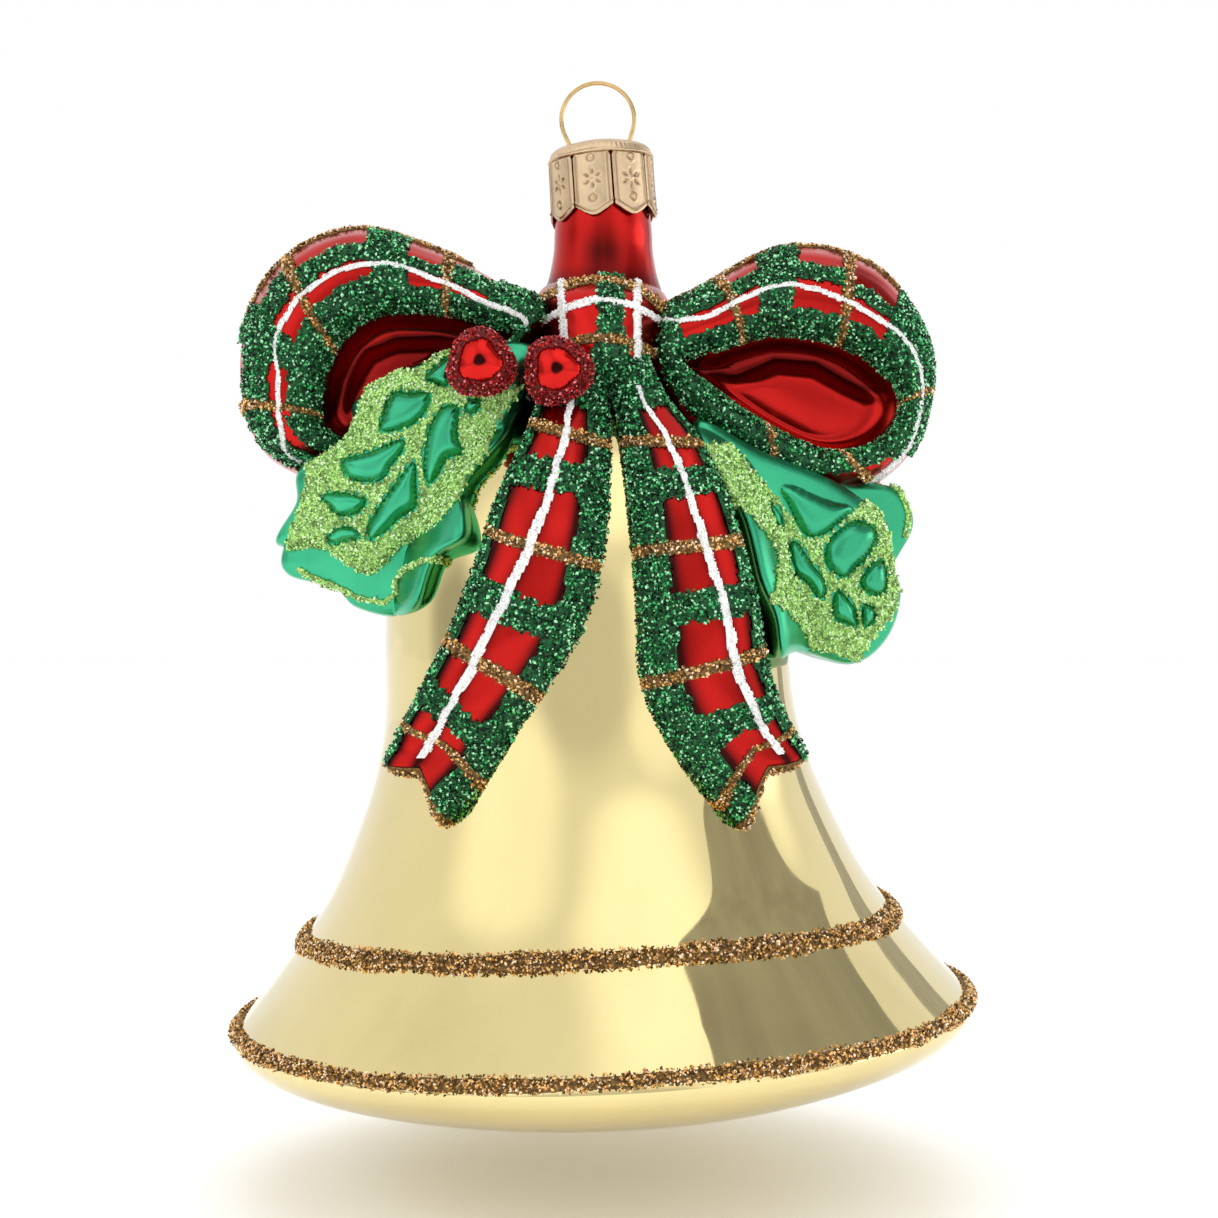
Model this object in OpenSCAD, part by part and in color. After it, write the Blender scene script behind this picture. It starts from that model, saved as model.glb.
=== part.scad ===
// Mouth-blown glass bell ornament with a tartan bow, holly, a stamped crown and a wire hanger.
// Frame: origin at the hanging point, inside the top of the wire ring. +Z is up, -Y is the front.

/* [Hanger] */
// Thickness of the hanger wire
wire_d = 0.8; // [0.6:0.1:1]
// Radius of the ring, to the middle of the wire
ring_r = 5; // [4.6:0.1:5.6]
// Distance of each wire leg from the middle, where it goes through the crown
leg_x = 3.9; // [3.6:0.1:4]
// Distance of each leg's end from the middle, inside the neck
leg_end_x = 3.9; // [3.6:0.1:4]
// Length of each leg below the crown's top
leg_len = 14; // [8:1:14]

/* [Crown] */
// Outer diameter of the crown
crown_d = 14.7; // [14.5:0.1:15.5]
// Height of the crown from its top to the tips of its petals
crown_h = 10.6; // [9:0.1:12]
// Thickness of the crown's sheet metal
sheet = 0.3; // [0.2:0.05:0.4]
// Number of petals
petals = 8; // [6:1:10]
// Lean of the crown and the hanger on the neck, in degrees
crown_lean = 4; // [0:0.5:5]

/* [Glass bell] */
// Thickness of the blown glass
glass_wall = 0.6; // [0.5:0.1:1]
// Lean of the bell under its neck, in degrees
bell_lean = 2.7; // [0:0.1:4]
// Radius of the bell's lip
lip_r = 51.2; // [50:0.1:53]
// Depth of the closed bottom below the lip
dome_depth = 11.6; // [8:0.1:14]
// Drop from the hanging point to the lip
lip_drop = 129; // [128:0.5:130]
// Radius of the neck below the crown
neck_r = 7.05; // [6.9:0.05:7.2]
// Radius of the neck inside the crown
neck_top_r = 6.3; // [6:0.05:6.35]

/* [Bow and holly] */
// Half of the bow loops' thickness
loop_t = 13; // [11:0.5:14]
// Half of the knot's thickness
knot_t = 17; // [15:0.5:18]
// Half of the ribbon tails' thickness
tail_t = 4.6; // [4:0.1:5.5]
// Half of the holly leaves' thickness
leaf_t = 19; // [16:0.5:20]
// Radius of a berry
berry_r = 4; // [3.5:0.1:4.4]

/* [Glitter] */
// Height of the glitter above the glass
glitter_h = 0.5; // [0.3:0.1:0.8]
// Height of the two bell bands above the glass
band_h = 0.75; // [0.5:0.05:1]
// Width of a gold or white glitter line
line_w = 1.1; // [0.8:0.1:1.6]

/* [Hidden] */
$fn = 96;

red = "firebrick";
green = "seagreen";
green_glitter = "darkgreen";
lime_glitter = "yellowgreen";
gold_glitter = "darkgoldenrod";
white_glitter = "white";
pale_gold = "palegoldenrod";

neck_x = 1.1;
front = -1;
back = 1;
gap = 0.05;
glue = 0.4;

// ---- Curves and skins ----

function lerp(a, b, t) = a + (b - a) * t;
function total(v) = v * [for (x = v) 1];
function mean(pts) = [for (k = [0:len(pts[0]) - 1]) total([for (p = pts) p[k]]) / len(pts)];
function unit(v) = v / max(norm(v), 1e-6);
function reversed(v) = [for (i = [len(v) - 1:-1:0]) v[i]];
function flat_area(p) = total([for (i = [0:len(p) - 1])
    let (q = p[(i + 1) % len(p)]) p[i][0] * q[1] - q[0] * p[i][1]]);
function anticlockwise(p) = flat_area(p) < 0 ? reversed(p) : p;

// A smooth curve through four points, from the second to the third
function through(a, b, c, d, t) = 0.5 * (2 * b + (c - a) * t
    + (2 * a - 5 * b + 4 * c - d) * t * t + (3 * b - a - 3 * c + d) * t * t * t);

function closed_curve(c, per) = let (n = len(c)) [for (i = [0:n - 1]) for (j = [0:per - 1])
    through(c[(i + n - 1) % n], c[i], c[(i + 1) % n], c[(i + 2) % n], j / per)];

function open_curve(c, per) = let (last = len(c) - 1) concat([for (i = [0:last - 1]) for (j = [0:per - 1])
    through(c[max(i - 1, 0)], c[i], c[i + 1], c[min(i + 2, last)], j / per)], [c[last]]);

function volume_sign(pts, faces) = total([for (f = faces) pts[f[0]] * cross(pts[f[1]], pts[f[2]])]);

// One closed mesh through a list of rings, each with the same number of points
module skin(rings) {
    n = len(rings[0]);
    last = len(rings) - 1;
    pts = concat([for (r = rings) each r], [mean(rings[0]), mean(rings[last])]);
    sides = [for (k = [0:last - 1]) for (i = [0:n - 1])
        let (a = k * n + i, b = k * n + (i + 1) % n) each [[a, b, b + n], [a, b + n, a + n]]];
    first_cap = [for (i = [0:n - 1]) [(i + 1) % n, i, n * (last + 1)]];
    last_cap = [for (i = [0:n - 1]) [last * n + i, last * n + (i + 1) % n, n * (last + 1) + 1]];
    faces = concat(sides, first_cap, last_cap);
    polyhedron(pts, volume_sign(pts, faces) > 0 ? [for (f = faces) reversed(f)] : faces, convexity = 8);
}

// A point of a ring grid at a fractional place: u goes round a ring, v goes from ring to ring
function at(r, u, v) = let (n = len(r[0]), k = min(floor(v), len(r) - 2), i = floor(u), t = u - i,
    a = (i % n + n) % n, b = (a + 1) % n) lerp(lerp(r[k][a], r[k][b], t),
        lerp(r[k + 1][a], r[k + 1][b], t), v - k);

function normal_at(r, u, v) = let (du = at(r, u + 0.5, v) - at(r, u - 0.5, v),
    dv = at(r, u, min(v + 0.5, len(r) - 1.001)) - at(r, u, max(v - 0.5, 0)))
    unit(cross(dv, du));

// The same rings moved along their normals, to either side of the surface
function shifted(r, h) = let (side = facing(r)) [for (k = [0:len(r) - 1])
    [for (i = [0:len(r[0]) - 1]) r[k][i] + side * h * normal_at(r, i, k)]];

// Which way the grid's normals point: 1 outwards, -1 inwards
function facing(r) = let (m = mean([for (ring = r) mean(ring)]), mid = floor(len(r) / 2))
    normal_at(r, 0, mid) * (r[mid][0] - m) > 0 ? 1 : -1;

// A raised strip of glitter through points of a surface, where ups holds the surface's normals
module band_through(spots, ups, width) {
    last = len(spots) - 1;
    skin([for (i = [0:last])
        let (across = unit(cross(ups[i], spots[min(i + 1, last)] - spots[max(i - 1, 0)])) * width / 2)
        [spots[i] + across - ups[i] * glue, spots[i] - across - ups[i] * glue,
         spots[i] - 0.7 * across + ups[i] * glitter_h, spots[i] + 0.7 * across + ups[i] * glitter_h]]);
}

// The same along a path of [u, v] places of a ring grid
module band_on(r, path, width) {
    side = facing(r);
    band_through([for (p = path) at(r, p[0], p[1])], [for (p = path) side * normal_at(r, p[0], p[1])],
        width);
}

function steps(a, b, count) = [for (i = [0:count]) lerp(a, b, i / count)];
function along_u(u0, u1, v, count) = [for (u = steps(u0, u1, count)) [u, v]];
function along_v(u, v0, v1, count) = [for (v = steps(v0, v1, count)) [u, v]];

// A boolean that is worked out as one mesh, for the blown shapes
module as_one_mesh() resize([0, 0, 0]) children();

module glass_frame() translate([neck_x, 0, -lip_drop]) children();
module bell_frame() glass_frame() rotate([0, -bell_lean, 0]) children();
module crown_frame() rotate([0, -crown_lean, 0]) children();

// ---- Hanger and crown ----

ring_z = wire_d / 2 - ring_r;
bend_swell = 0.14;
bend_drop = 2.1;
leg_d = wire_d - 0.02;
lap = 0.15;
crown_top = -8.8;
hole_z = crown_top - sheet / 2;
leg_reach = norm([leg_x, hole_z - ring_z]);
leave_angle = acos(ring_r / leg_reach) - atan2(ring_z - hole_z, leg_x);

module rod(a, b, d) {
    way = b - a;
    translate(a) rotate([0, acos(way[2] / norm(way)), atan2(way[1], way[0])])
        cylinder(h = norm(way), d = d);
}

module hanger_wire() color("darkgoldenrod") crown_frame() {
    translate([0, 0, ring_z]) rotate([90, 0, 0]) rotate([0, 0, leave_angle])
        rotate_extrude(angle = 180 - 2 * leave_angle) translate([ring_r, 0]) circle(d = wire_d);
    for (side = [-1, 1]) {
        start = [side * ring_r * cos(leave_angle), 0, ring_z + ring_r * sin(leave_angle)];
        hole = [side * leg_x, 0, hole_z];
        bend = hole + bend_drop * unit(hole - start);
        leg_end = [side * leg_end_x, 0, hole_z - leg_len];
        rod(start - lap * unit(hole - start), bend, leg_d);
        rod(bend, leg_end, leg_d);
        translate(bend) sphere(d = wire_d + bend_swell, $fn = 24);
    }
}

crown_r = crown_d / 2;
shoulder_r = 1.3;
slit_w = 0.4;
slit_top = crown_top - 1.7;
slit_phase = 11;
petal_point = 2.2;

function crown_outline(inset) = concat(
    [[0, crown_top - inset]],
    [for (a = [90:-15:0]) [crown_r - shoulder_r + (shoulder_r - inset) * cos(a),
        crown_top - shoulder_r + (shoulder_r - inset) * sin(a)]],
    [[crown_r - inset, crown_top - crown_h], [0, crown_top - crown_h]]);

// The gap between two petals, which opens into a V so that the petals end in points
module petal_slit() {
    bottom = crown_top - crown_h;
    half_petal = PI * crown_r / petals;
    rotate([90, 0, 0]) linear_extrude(height = crown_d, center = false)
        polygon([[-slit_w / 2, slit_top], [slit_w / 2, slit_top], [slit_w / 2, bottom + petal_point],
            [half_petal * 0.8, bottom - 0.1], [-half_petal * 0.8, bottom - 0.1],
            [-slit_w / 2, bottom + petal_point]]);
}

module crown_cap() color("wheat") crown_frame() difference() {
    rotate_extrude() difference() {
        polygon(crown_outline(0));
        polygon(concat(crown_outline(sheet), [[0, crown_top - crown_h - 1]]));
        translate([0, crown_top - crown_h - 1]) square([crown_r - sheet, 2]);
    }
    for (i = [0:petals - 1]) rotate([0, 0, slit_phase + i * 360 / petals]) petal_slit();
    for (side = [-1, 1]) translate([side * leg_x, 0, crown_top - 2]) cylinder(h = 4, r = 0.75);
}

// ---- Bell and neck ----

crown_top_h = 85.5;
bell_points = [[0.01, crown_top_h], [8, 84.6], [15, 81.5], [21, 76], [25, 68.5], [27.3, 60], [28, 51],
    [28.4, 42], [29.8, 35], [32.2, 28.3], [36.8, 18.5], [41.3, 12], [46.3, 5.8], [lip_r - 0.6, 0.9]];
bell_wall_curve = open_curve(bell_points, 3);
dome_curve = [for (a = [0:-6:-90]) [max((lip_r + 0.01) * cos(a), 0.01), dome_depth * sin(a)]];
bell_outline = concat(bell_wall_curve, dome_curve);

// Each outline point moved inwards, at right angles to the curve
function inner_outline(c, w) = let (last = len(c) - 1) [for (i = [0:last])
    let (way = unit(c[min(i + 1, last)] - c[max(i - 1, 0)]), p = c[i] + w * [way[1], -way[0]])
    [max(p[0], 0.01), p[1]]];

bell_inside = inner_outline(bell_outline, glass_wall);
neck_bore_r = neck_top_r - 0.9;

module bell_outside() rotate_extrude() polygon(concat([[0, crown_top_h]], bell_outline,
    [[0, -dome_depth]]));
// The bell above its flare, a hair larger, to cut the bow and the leaves back to its wall
cutter_gap = 0.15;
cutter_curve = open_curve([for (p = bell_points) if (p[1] > 20) p + [cutter_gap, 0]], 2);
module bell_cutter() bell_frame() rotate_extrude($fn = 60)
    polygon(concat([[0, crown_top_h + cutter_gap]], cutter_curve,
        [[0, cutter_curve[len(cutter_curve) - 1][1]]]));

module bell_shell() color(pale_gold) difference() {
    bell_frame() bell_outside();
    bell_frame() rotate_extrude()
        polygon(concat([[0, crown_top_h - glass_wall]], bell_inside, [[0, -dome_depth + glass_wall]]));
    glass_frame() translate([0, 0, crown_top_h - 12]) cylinder(h = 20, r = neck_bore_r);
}

neck_bottom_h = 86;
neck_top_h = lip_drop - 9.8;
neck_shoulder_h = lip_drop - 19.6;
neck_curve = [[neck_top_r, neck_top_h], [neck_top_r, neck_shoulder_h],
    [neck_r - 0.2, neck_shoulder_h - 1.2],
    [neck_r, neck_shoulder_h - 2.5], [neck_r, neck_bottom_h]];

module neck_tube() color(red) glass_frame() difference() {
    rotate_extrude() polygon(concat([[0, neck_top_h]], neck_curve, [[0, neck_bottom_h]]));
    translate([0, 0, neck_bottom_h - 1]) cylinder(h = 60, r = neck_bore_r);
}

// A bead of glitter that stands on the bell's wall, round a point of its outline
module bell_band(index, half_width) bell_frame() rotate_extrude() {
    p = bell_outline[index];
    way = unit(bell_outline[index + 1] - bell_outline[index - 1]);
    out = [-way[1], way[0]];
    bead_r = (half_width * half_width + band_h * band_h) / (2 * band_h);
    difference() {
        translate(p + (band_h - bead_r) * out) circle(r = bead_r, $fn = 64);
        polygon(concat([[0, crown_top_h]], bell_outline, [[0, -dome_depth]]));
    }
}
waist_band_at = 33;
rim_band_at = 39;

module waist_glitter_band() color(gold_glitter) bell_band(waist_band_at, 1.3);
module rim_glitter_band() color(gold_glitter) bell_band(rim_band_at, 1.2);

// ---- Bow ----

// Front view outlines are [x, height above the lip]
right_loop_outer = anticlockwise([[7, 96], [14, 101.5], [26, 107], [38, 104.2], [45, 95], [46.2, 86],
    [42, 75], [31, 71.3], [20, 77.5], [11, 88]]);
right_loop_inner = anticlockwise([[12.5, 89.4], [16.5, 91.2], [24, 92.7], [33, 91], [39, 86], [40.3, 81.8],
    [36.5, 77.8], [30, 77], [22, 81.3], [15.5, 86]]);
left_loop_outer = anticlockwise([[-7, 96], [-14, 101.8], [-23, 106], [-34, 108.9], [-44, 104.5], [-50, 95],
    [-50.3, 84], [-46, 76.3], [-36, 74], [-20, 82]]);
left_loop_inner = anticlockwise([[-12.5, 92.8], [-16.5, 94.8], [-23, 96], [-31, 95.6], [-36, 91.5],
    [-38, 86], [-38.3, 81], [-35, 78.5], [-29, 80.5], [-18.5, 88.5]]);

// Each level goes from the silhouette over the band and down into the recess:
// [way from the outer to the inner outline, size about the middle, share of the depth]
loop_levels = [[0, 1, 0], [0.05, 1, 0.42], [0.22, 1, 0.8], [0.5, 1, 1], [0.8, 1, 0.97], [1, 1, 0.8],
    [1, 0.8, 0.42]];
loop_per = 3;

// The same levels for the hollow inside, a wall further in
loop_hollow_levels = [[0.12, 1, 0], [0.15, 1, 0.38], [0.3, 1, 0.73], [0.5, 1, 0.93], [0.72, 1, 0.9],
    [0.86, 1, 0.72],
    [1, 0.9, 0.35]];

// Share of the full depth at each point of an outline: the left loop's lower side lies under the holly
right_loop_share = [for (p = right_loop_outer) 1];
left_loop_share = [1, 1, 1, 1, 1, 1, 1, 0.85, 0.5, 0.6];

function loop_rings(outer, inner, share, levels = loop_levels) = let (o = closed_curve(outer, loop_per),
    c = closed_curve(inner, loop_per), deep = closed_curve(share, loop_per), m = mean(c),
    rim = function (l, s) [for (i = [0:len(o) - 1])
        let (p = lerp(m, lerp(o[i], c[i], l[0]), l[1])) [p[0], s * loop_t * deep[i] * l[2], p[1]]])
    concat([for (k = [len(levels) - 1:-1:0]) rim(levels[k], front)],
        [for (k = [1:len(levels) - 1]) rim(levels[k], back)]);

right_loop = loop_rings(right_loop_outer, right_loop_inner, right_loop_share);
left_loop = loop_rings(left_loop_outer, left_loop_inner, left_loop_share);
loop_edge = len(loop_levels) - 1;

// A pillow over a front view outline, thickest in its middle
pillow_levels = [for (a = [0:18:72]) [cos(a), sin(a)]];
function pillow_rings(outline, per, middle, t, levels = pillow_levels) =
    let (o = closed_curve(anticlockwise(outline), per),
        rim = function (l, s) [for (p = o) let (q = lerp(middle, p, l[0])) [q[0], s * t * l[1], q[1]]])
    concat([for (k = [len(levels) - 1:-1:0]) rim(levels[k], front)],
        [for (k = [1:len(levels) - 1]) rim(levels[k], back)]);

knot_outline = [[-8.3, 100.4], [0, 102], [8, 100], [9.6, 94.5], [8.4, 87], [5, 80.5], [-4.5, 80.5],
    [-8.2, 87], [-9.6, 94.5]];
knot_middle = [0, 92];
knot = pillow_rings(knot_outline, 2, knot_middle, knot_t);

module neck_cutter() translate([0, 0, neck_bottom_h - 1]) cylinder(h = 40, r = neck_r + gap, $fn = 48);

module bow_knot() color(red) as_one_mesh() difference() {
    glass_frame() difference() {
        skin(knot);
        skin(shifted(knot, -glass_wall));
        neck_cutter();
    }
    bell_cutter();
}

module bow_loop(outer, inner, share) color(red) as_one_mesh() difference() {
    glass_frame() difference() {
        skin(loop_rings(outer, inner, share));
        skin(loop_rings(outer, inner, share, loop_hollow_levels));
        skin(knot);
        neck_cutter();
    }
    bell_cutter();
}
module bow_loop_left() bow_loop(left_loop_outer, left_loop_inner, left_loop_share);
module bow_loop_right() bow_loop(right_loop_outer, right_loop_inner, right_loop_share);

// Each station of a tail: [x, depth in front of the bell's axis, height, half of the width]
left_tail_stations = [[-2.2, 9.6, 89.8, 2.9], [-3.2, 15, 84, 3.8], [-4.2, 20, 77, 5.2],
    [-6.2, 23.4, 70, 6.8], [-7.7, 25.3, 63, 7.5],
    [-10, 26, 56, 7.9], [-13.4, 26, 48.6, 7.9], [-17.6, 25.6, 41, 7.2], [-21.4, 25.4, 34.4, 6.4],
    [-23.4, 25.4, 31.6, 5.6]];
right_tail_stations = [[2.2, 9.6, 89.8, 2.9], [4.2, 15, 84, 3.6], [6.6, 20, 77, 4.6],
    [8.8, 23.4, 70, 5.8], [10.5, 25.3, 63, 6.6],
    [12, 26, 56, 7.3], [13.2, 26, 48.6, 7.6], [15.6, 25.8, 41, 7.3], [19.2, 25.6, 34.4, 6.5],
    [21, 25.6, 31.6, 5.7]];
tail_sides = 12;

function tail_rings(stations, face) = let (last = len(stations) - 1,
    spots = [for (s = stations) [s[0], face * s[1], s[2]]])
    [for (j = [0:last]) let (way = unit(spots[min(j + 1, last)] - spots[max(j - 1, 0)]),
        out = unit([spots[j][0], spots[j][1], 0]), across = unit(cross(way, out)))
        [for (i = [0:tail_sides - 1]) let (a = i * 360 / tail_sides)
            spots[j] + across * stations[j][3] * cos(a) + out * tail_t * sin(a)]];

left_tail_front = tail_rings(left_tail_stations, front);
right_tail_front = tail_rings(right_tail_stations, front);
left_tail_back = tail_rings(left_tail_stations, back);
right_tail_back = tail_rings(right_tail_stations, back);
tail_front_u = 3;

module tail_notch(stations, face) {
    tip = stations[len(stations) - 1];
    way = [tip[0] - stations[len(stations) - 3][0], tip[2] - stations[len(stations) - 3][2]];
    translate([tip[0], face * tip[1], tip[2]]) rotate([0, 90 - atan2(way[1], way[0]), 0])
        rotate([90, 0, 0]) linear_extrude(height = 30, center = true)
            polygon([[-4.6, 3], [0, -4.2], [4.6, 3]]);
}

// The hollow of a tail opens into the knot and stops before the notch
solid_stations = 2;
module ribbon_tail(rings, stations, face, others) color(red) as_one_mesh() difference() {
    glass_frame() difference() {
        skin(rings);
        skin(shifted([for (k = [0:len(rings) - 1 - solid_stations]) rings[k]], -glass_wall));
        skin(knot);
        for (other = others) skin(other);
        tail_notch(stations, face);
    }
    bell_cutter();
}
module tail_left_front() ribbon_tail(left_tail_front, left_tail_stations, front, [left_loop]);
module tail_right_front() ribbon_tail(right_tail_front, right_tail_stations, front,
    [left_tail_front, right_loop]);
module tail_left_back() ribbon_tail(left_tail_back, left_tail_stations, back, [left_loop]);
module tail_right_back() ribbon_tail(right_tail_back, right_tail_stations, back,
    [left_tail_back, right_loop]);

// ---- Holly ----

left_leaf_outline = [[-9, 90.5], [-20, 90], [-28, 87], [-33.5, 83.5], [-34, 79], [-41, 74.5], [-41.5, 70],
    [-44.2, 64.5], [-38, 64], [-31.5, 60.5], [-26.5, 64.5], [-20, 66.5], [-17, 73], [-12.5, 79]];
left_rear_outline = [[-30, 78], [-40, 70], [-43.6, 63.5], [-42.6, 60.2], [-36.5, 58.6], [-33.5, 55.9],
    [-28, 54.6],
    [-24, 56], [-21.5, 62], [-17, 65.5], [-20, 74]];
right_leaf_outline = [[12.5, 81], [21, 77], [31, 73], [37.5, 68], [38.6, 63], [40.2, 57.5],
    [38.2, 51.5], [33.4, 48.2],
    [26, 50], [23, 49.4], [21.8, 54.5], [19.6, 59.5], [17.6, 67.5], [13.6, 74.5]];
right_rear_outline = [[24, 74], [34, 73], [40, 72], [42.2, 68], [40.8, 64], [37, 60], [28, 60]];

// A leaf has an upright edge and a domed face, and it gets thinner towards its outer end:
// [size about its middle, share of the depth]
leaf_levels = [[1, 0], [1, 0.72], [0.95, 0.84], [0.8, 0.94], [0.42, 1]];
leaf_near = 12;
leaf_far = 42;
function leaf_depth(x, t) = lerp(t, 0.74 * t,
    min(1, max(0, (abs(x) - leaf_near) / (leaf_far - leaf_near))));
function leaf_rings(outline, middle, t) = [for (ring = pillow_rings(outline, 2, middle, 1, leaf_levels))
    [for (p = ring) [p[0], p[1] * leaf_depth(p[0], t), p[2]]]];

left_leaf = leaf_rings(left_leaf_outline, [-25, 76], leaf_t);
left_rear = leaf_rings(left_rear_outline, [-30, 65], leaf_t - 3);
right_leaf = leaf_rings(right_leaf_outline, [27, 64], leaf_t);
right_rear = leaf_rings(right_rear_outline, [33, 67], leaf_t - 4);

module holly_leaf(rings, others) color(green) as_one_mesh() difference() {
    glass_frame() difference() {
        skin(rings);
        skin(shifted(rings, -glass_wall));
        skin(knot);
        for (other = others) skin(other);
    }
    bell_cutter();
}
module leaf_left() holly_leaf(left_leaf, [left_loop, left_tail_front, left_tail_back]);
module leaf_left_rear() holly_leaf(left_rear, [left_loop, left_tail_front, left_tail_back, left_leaf]);
module leaf_right() holly_leaf(right_leaf, [right_loop, right_tail_front, right_tail_back]);
module leaf_right_rear() holly_leaf(right_rear, [right_loop, right_leaf]);

berry_left = [-15.8, 20.5, 87.6];
berry_right = [-5.9, 20.5, 86.6];

berry_stalk_r = 3.3;
berry_root = 9.5;

// A berry is a bubble with a short stalk that joins it to the glass behind
module berry(place, face) color("crimson") glass_frame() translate([place[0], face * place[1], place[2]])
    rotate([-face * 90, 0, 0]) rotate_extrude() {
        intersection() {
            circle(r = berry_r);
            translate([0, -berry_r]) square([berry_r, 2 * berry_r]);
        }
        translate([0, berry_root - place[1]]) square([berry_stalk_r, place[1] - berry_root]);
    }
module berry_left_front() berry(berry_left, front);
module berry_right_front() berry(berry_right, front);
module berry_left_back() berry(berry_left, back);
module berry_right_back() berry(berry_right, back);

// A ring of red glitter round each berry of one face
module berry_rings(face) color("maroon") glass_frame() for (place = [berry_left, berry_right])
    translate([place[0], face * (place[1] + 1), place[2]]) rotate([90, 0, 0])
        rotate_extrude() translate([berry_r - 0.2, 0]) circle(r = 0.7, $fn = 24);
module berry_rings_front() berry_rings(front);
module berry_rings_back() berry_rings(back);

// ---- Glitter lines of the tartan and the holly ----

both = [front, back];
function loop_v(level, face) = loop_edge + face * level;
function leaf_v(level, face) = len(leaf_levels) - 1 + face * level;

module loop_trim(colour) color(colour) as_one_mesh() difference() {
    glass_frame() difference() {
        children();
        skin(knot);
        neck_cutter();
    }
    bell_cutter();
}

module green_on_loop(rings) for (face = both) {
    for (level = [1.8, 4.5]) band_on(rings, along_u(1, 27, loop_v(level, face), 22), 3);
}
module loop_left_green() loop_trim(green_glitter) green_on_loop(left_loop);
module loop_right_green() loop_trim(green_glitter) green_on_loop(right_loop);

left_loop_gold_u = [5.4, 11.5, 18.5, 25];
right_loop_gold_u = [3.8, 7, 14, 19.6, 23];
module gold_on_loop(rings, places) for (face = both) for (u = places)
    band_on(rings, along_v(u, loop_v(0.6, face), loop_v(5, face), 5), line_w);
module loop_gold_lines() loop_trim(gold_glitter) {
    gold_on_loop(left_loop, left_loop_gold_u);
    gold_on_loop(right_loop, right_loop_gold_u);
}

module loop_white_lines() loop_trim(white_glitter) for (rings = [left_loop, right_loop]) for (face = both)
    band_on(rings, along_u(1, 27, loop_v(3, face), 22), line_w);

// Depth of the knot's surface behind a front view place
function knot_depth(x, h) = knot_t * sqrt(max(0, 1 - pow(x / 9.6, 2) - pow((h - knot_middle[1]) / 11, 2)));
function on_knot(x, h, face) = [x, face * knot_depth(x, h), h];
function knot_up(p) = unit([p[0] / 92, p[1] / 289, (p[2] - knot_middle[1]) / 121]);
module band_on_knot(places, width) for (face = both) {
    spots = [for (p = places) on_knot(p[0], p[1], face)];
    band_through(spots, [for (p = spots) knot_up(p)], width);
}
module knot_trim(colour) color(colour) as_one_mesh() difference() {
    glass_frame() difference() {
        children();
        neck_cutter();
    }
    bell_cutter();
}
module knot_green() knot_trim(green_glitter)
    band_on_knot([for (h = steps(99, 83, 6)) [1, h]], 3.4);
module knot_gold_lines() knot_trim(gold_glitter) for (h = [97.5, 90])
    band_on_knot([for (x = steps(-7.5, 7.5, 6)) [x, h + 1.2 * cos(x * 12)]], line_w);
module knot_white_lines() knot_trim(white_glitter) {
    band_on_knot([for (x = steps(-8, 8, 6)) [x, 94.6 + 1.2 * cos(x * 12)]], line_w);
    for (x = [-5.2, 4.6]) band_on_knot([for (h = steps(98, 85, 5)) [x, h]], line_w);
}

// Places down each tail: the cross lines of gold and the cross bands of green
tail_gold_v = [1.9, 3.9, 6, 7.6];
tail_green_v = [2.9, 4.9, 6.8];
tail_end_v = 8.4;
tail_start_v = 1.2;

module tail_trim(colour, face) color(colour) as_one_mesh() difference() {
    glass_frame() difference() {
        children();
        skin(knot);
        for (other = [left_loop, right_loop]) skin(other);
        tail_notch(left_tail_stations, face);
        tail_notch(right_tail_stations, face);
    }
    bell_cutter();
}

// inner_u and outer_u are the edges of a tail: the inner edge has the wide green stripe
module green_on_tail(rings, inner_u, outer_u) {
    band_on(rings, along_v(inner_u, tail_start_v, tail_end_v, 10), 4.2);
    band_on(rings, along_v(outer_u, tail_start_v, tail_end_v, 10), 2.2);
    for (v = tail_green_v) band_on(rings, along_u(0.6, 5.4, v, 6), 3.2);
}
module gold_on_tail(rings) for (v = tail_gold_v) band_on(rings, along_u(0.4, 5.6, v, 6), line_w);
module white_on_tail(rings) band_on(rings, along_v(tail_front_u, tail_start_v, 8, 10), line_w);

module tail_green_front() tail_trim(green_glitter, front) {
    green_on_tail(left_tail_front, 4.9, 0.6);
    green_on_tail(right_tail_front, 1.1, 5.4);
}
module tail_green_back() tail_trim(green_glitter, back) {
    green_on_tail(left_tail_back, 1.1, 5.4);
    green_on_tail(right_tail_back, 4.9, 0.6);
}
module tail_gold_lines_front() tail_trim(gold_glitter, front)
    for (rings = [left_tail_front, right_tail_front]) gold_on_tail(rings);
module tail_gold_lines_back() tail_trim(gold_glitter, back)
    for (rings = [left_tail_back, right_tail_back]) gold_on_tail(rings);
module tail_white_lines_front() tail_trim(white_glitter, front)
    for (rings = [left_tail_front, right_tail_front]) white_on_tail(rings);
module tail_white_lines_back() tail_trim(white_glitter, back)
    for (rings = [left_tail_back, right_tail_back]) white_on_tail(rings);

// Glitter along a leaf's edge and on its veins
module leaf_glitter(rings, veins, others) color(lime_glitter) as_one_mesh() difference() {
    glass_frame() difference() {
        for (face = both) {
            band_on(rings, along_u(0, len(rings[0]) - 0.5, leaf_v(2.1, face), len(rings[0])), 1.8);
            for (u = veins) band_on(rings, along_v(u, leaf_v(2.3, face), leaf_v(4, face), 3), 1.3);
        }
        skin(knot);
        for (other = others) skin(other);
    }
    bell_cutter();
}
module leaf_left_glitter() leaf_glitter(left_leaf, [6, 10, 14, 18, 22],
    [left_loop, left_tail_front, left_tail_back]);
module leaf_right_glitter() leaf_glitter(right_leaf, [4, 8, 12, 16, 20],
    [right_loop, right_tail_front, right_tail_back]);

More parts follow.
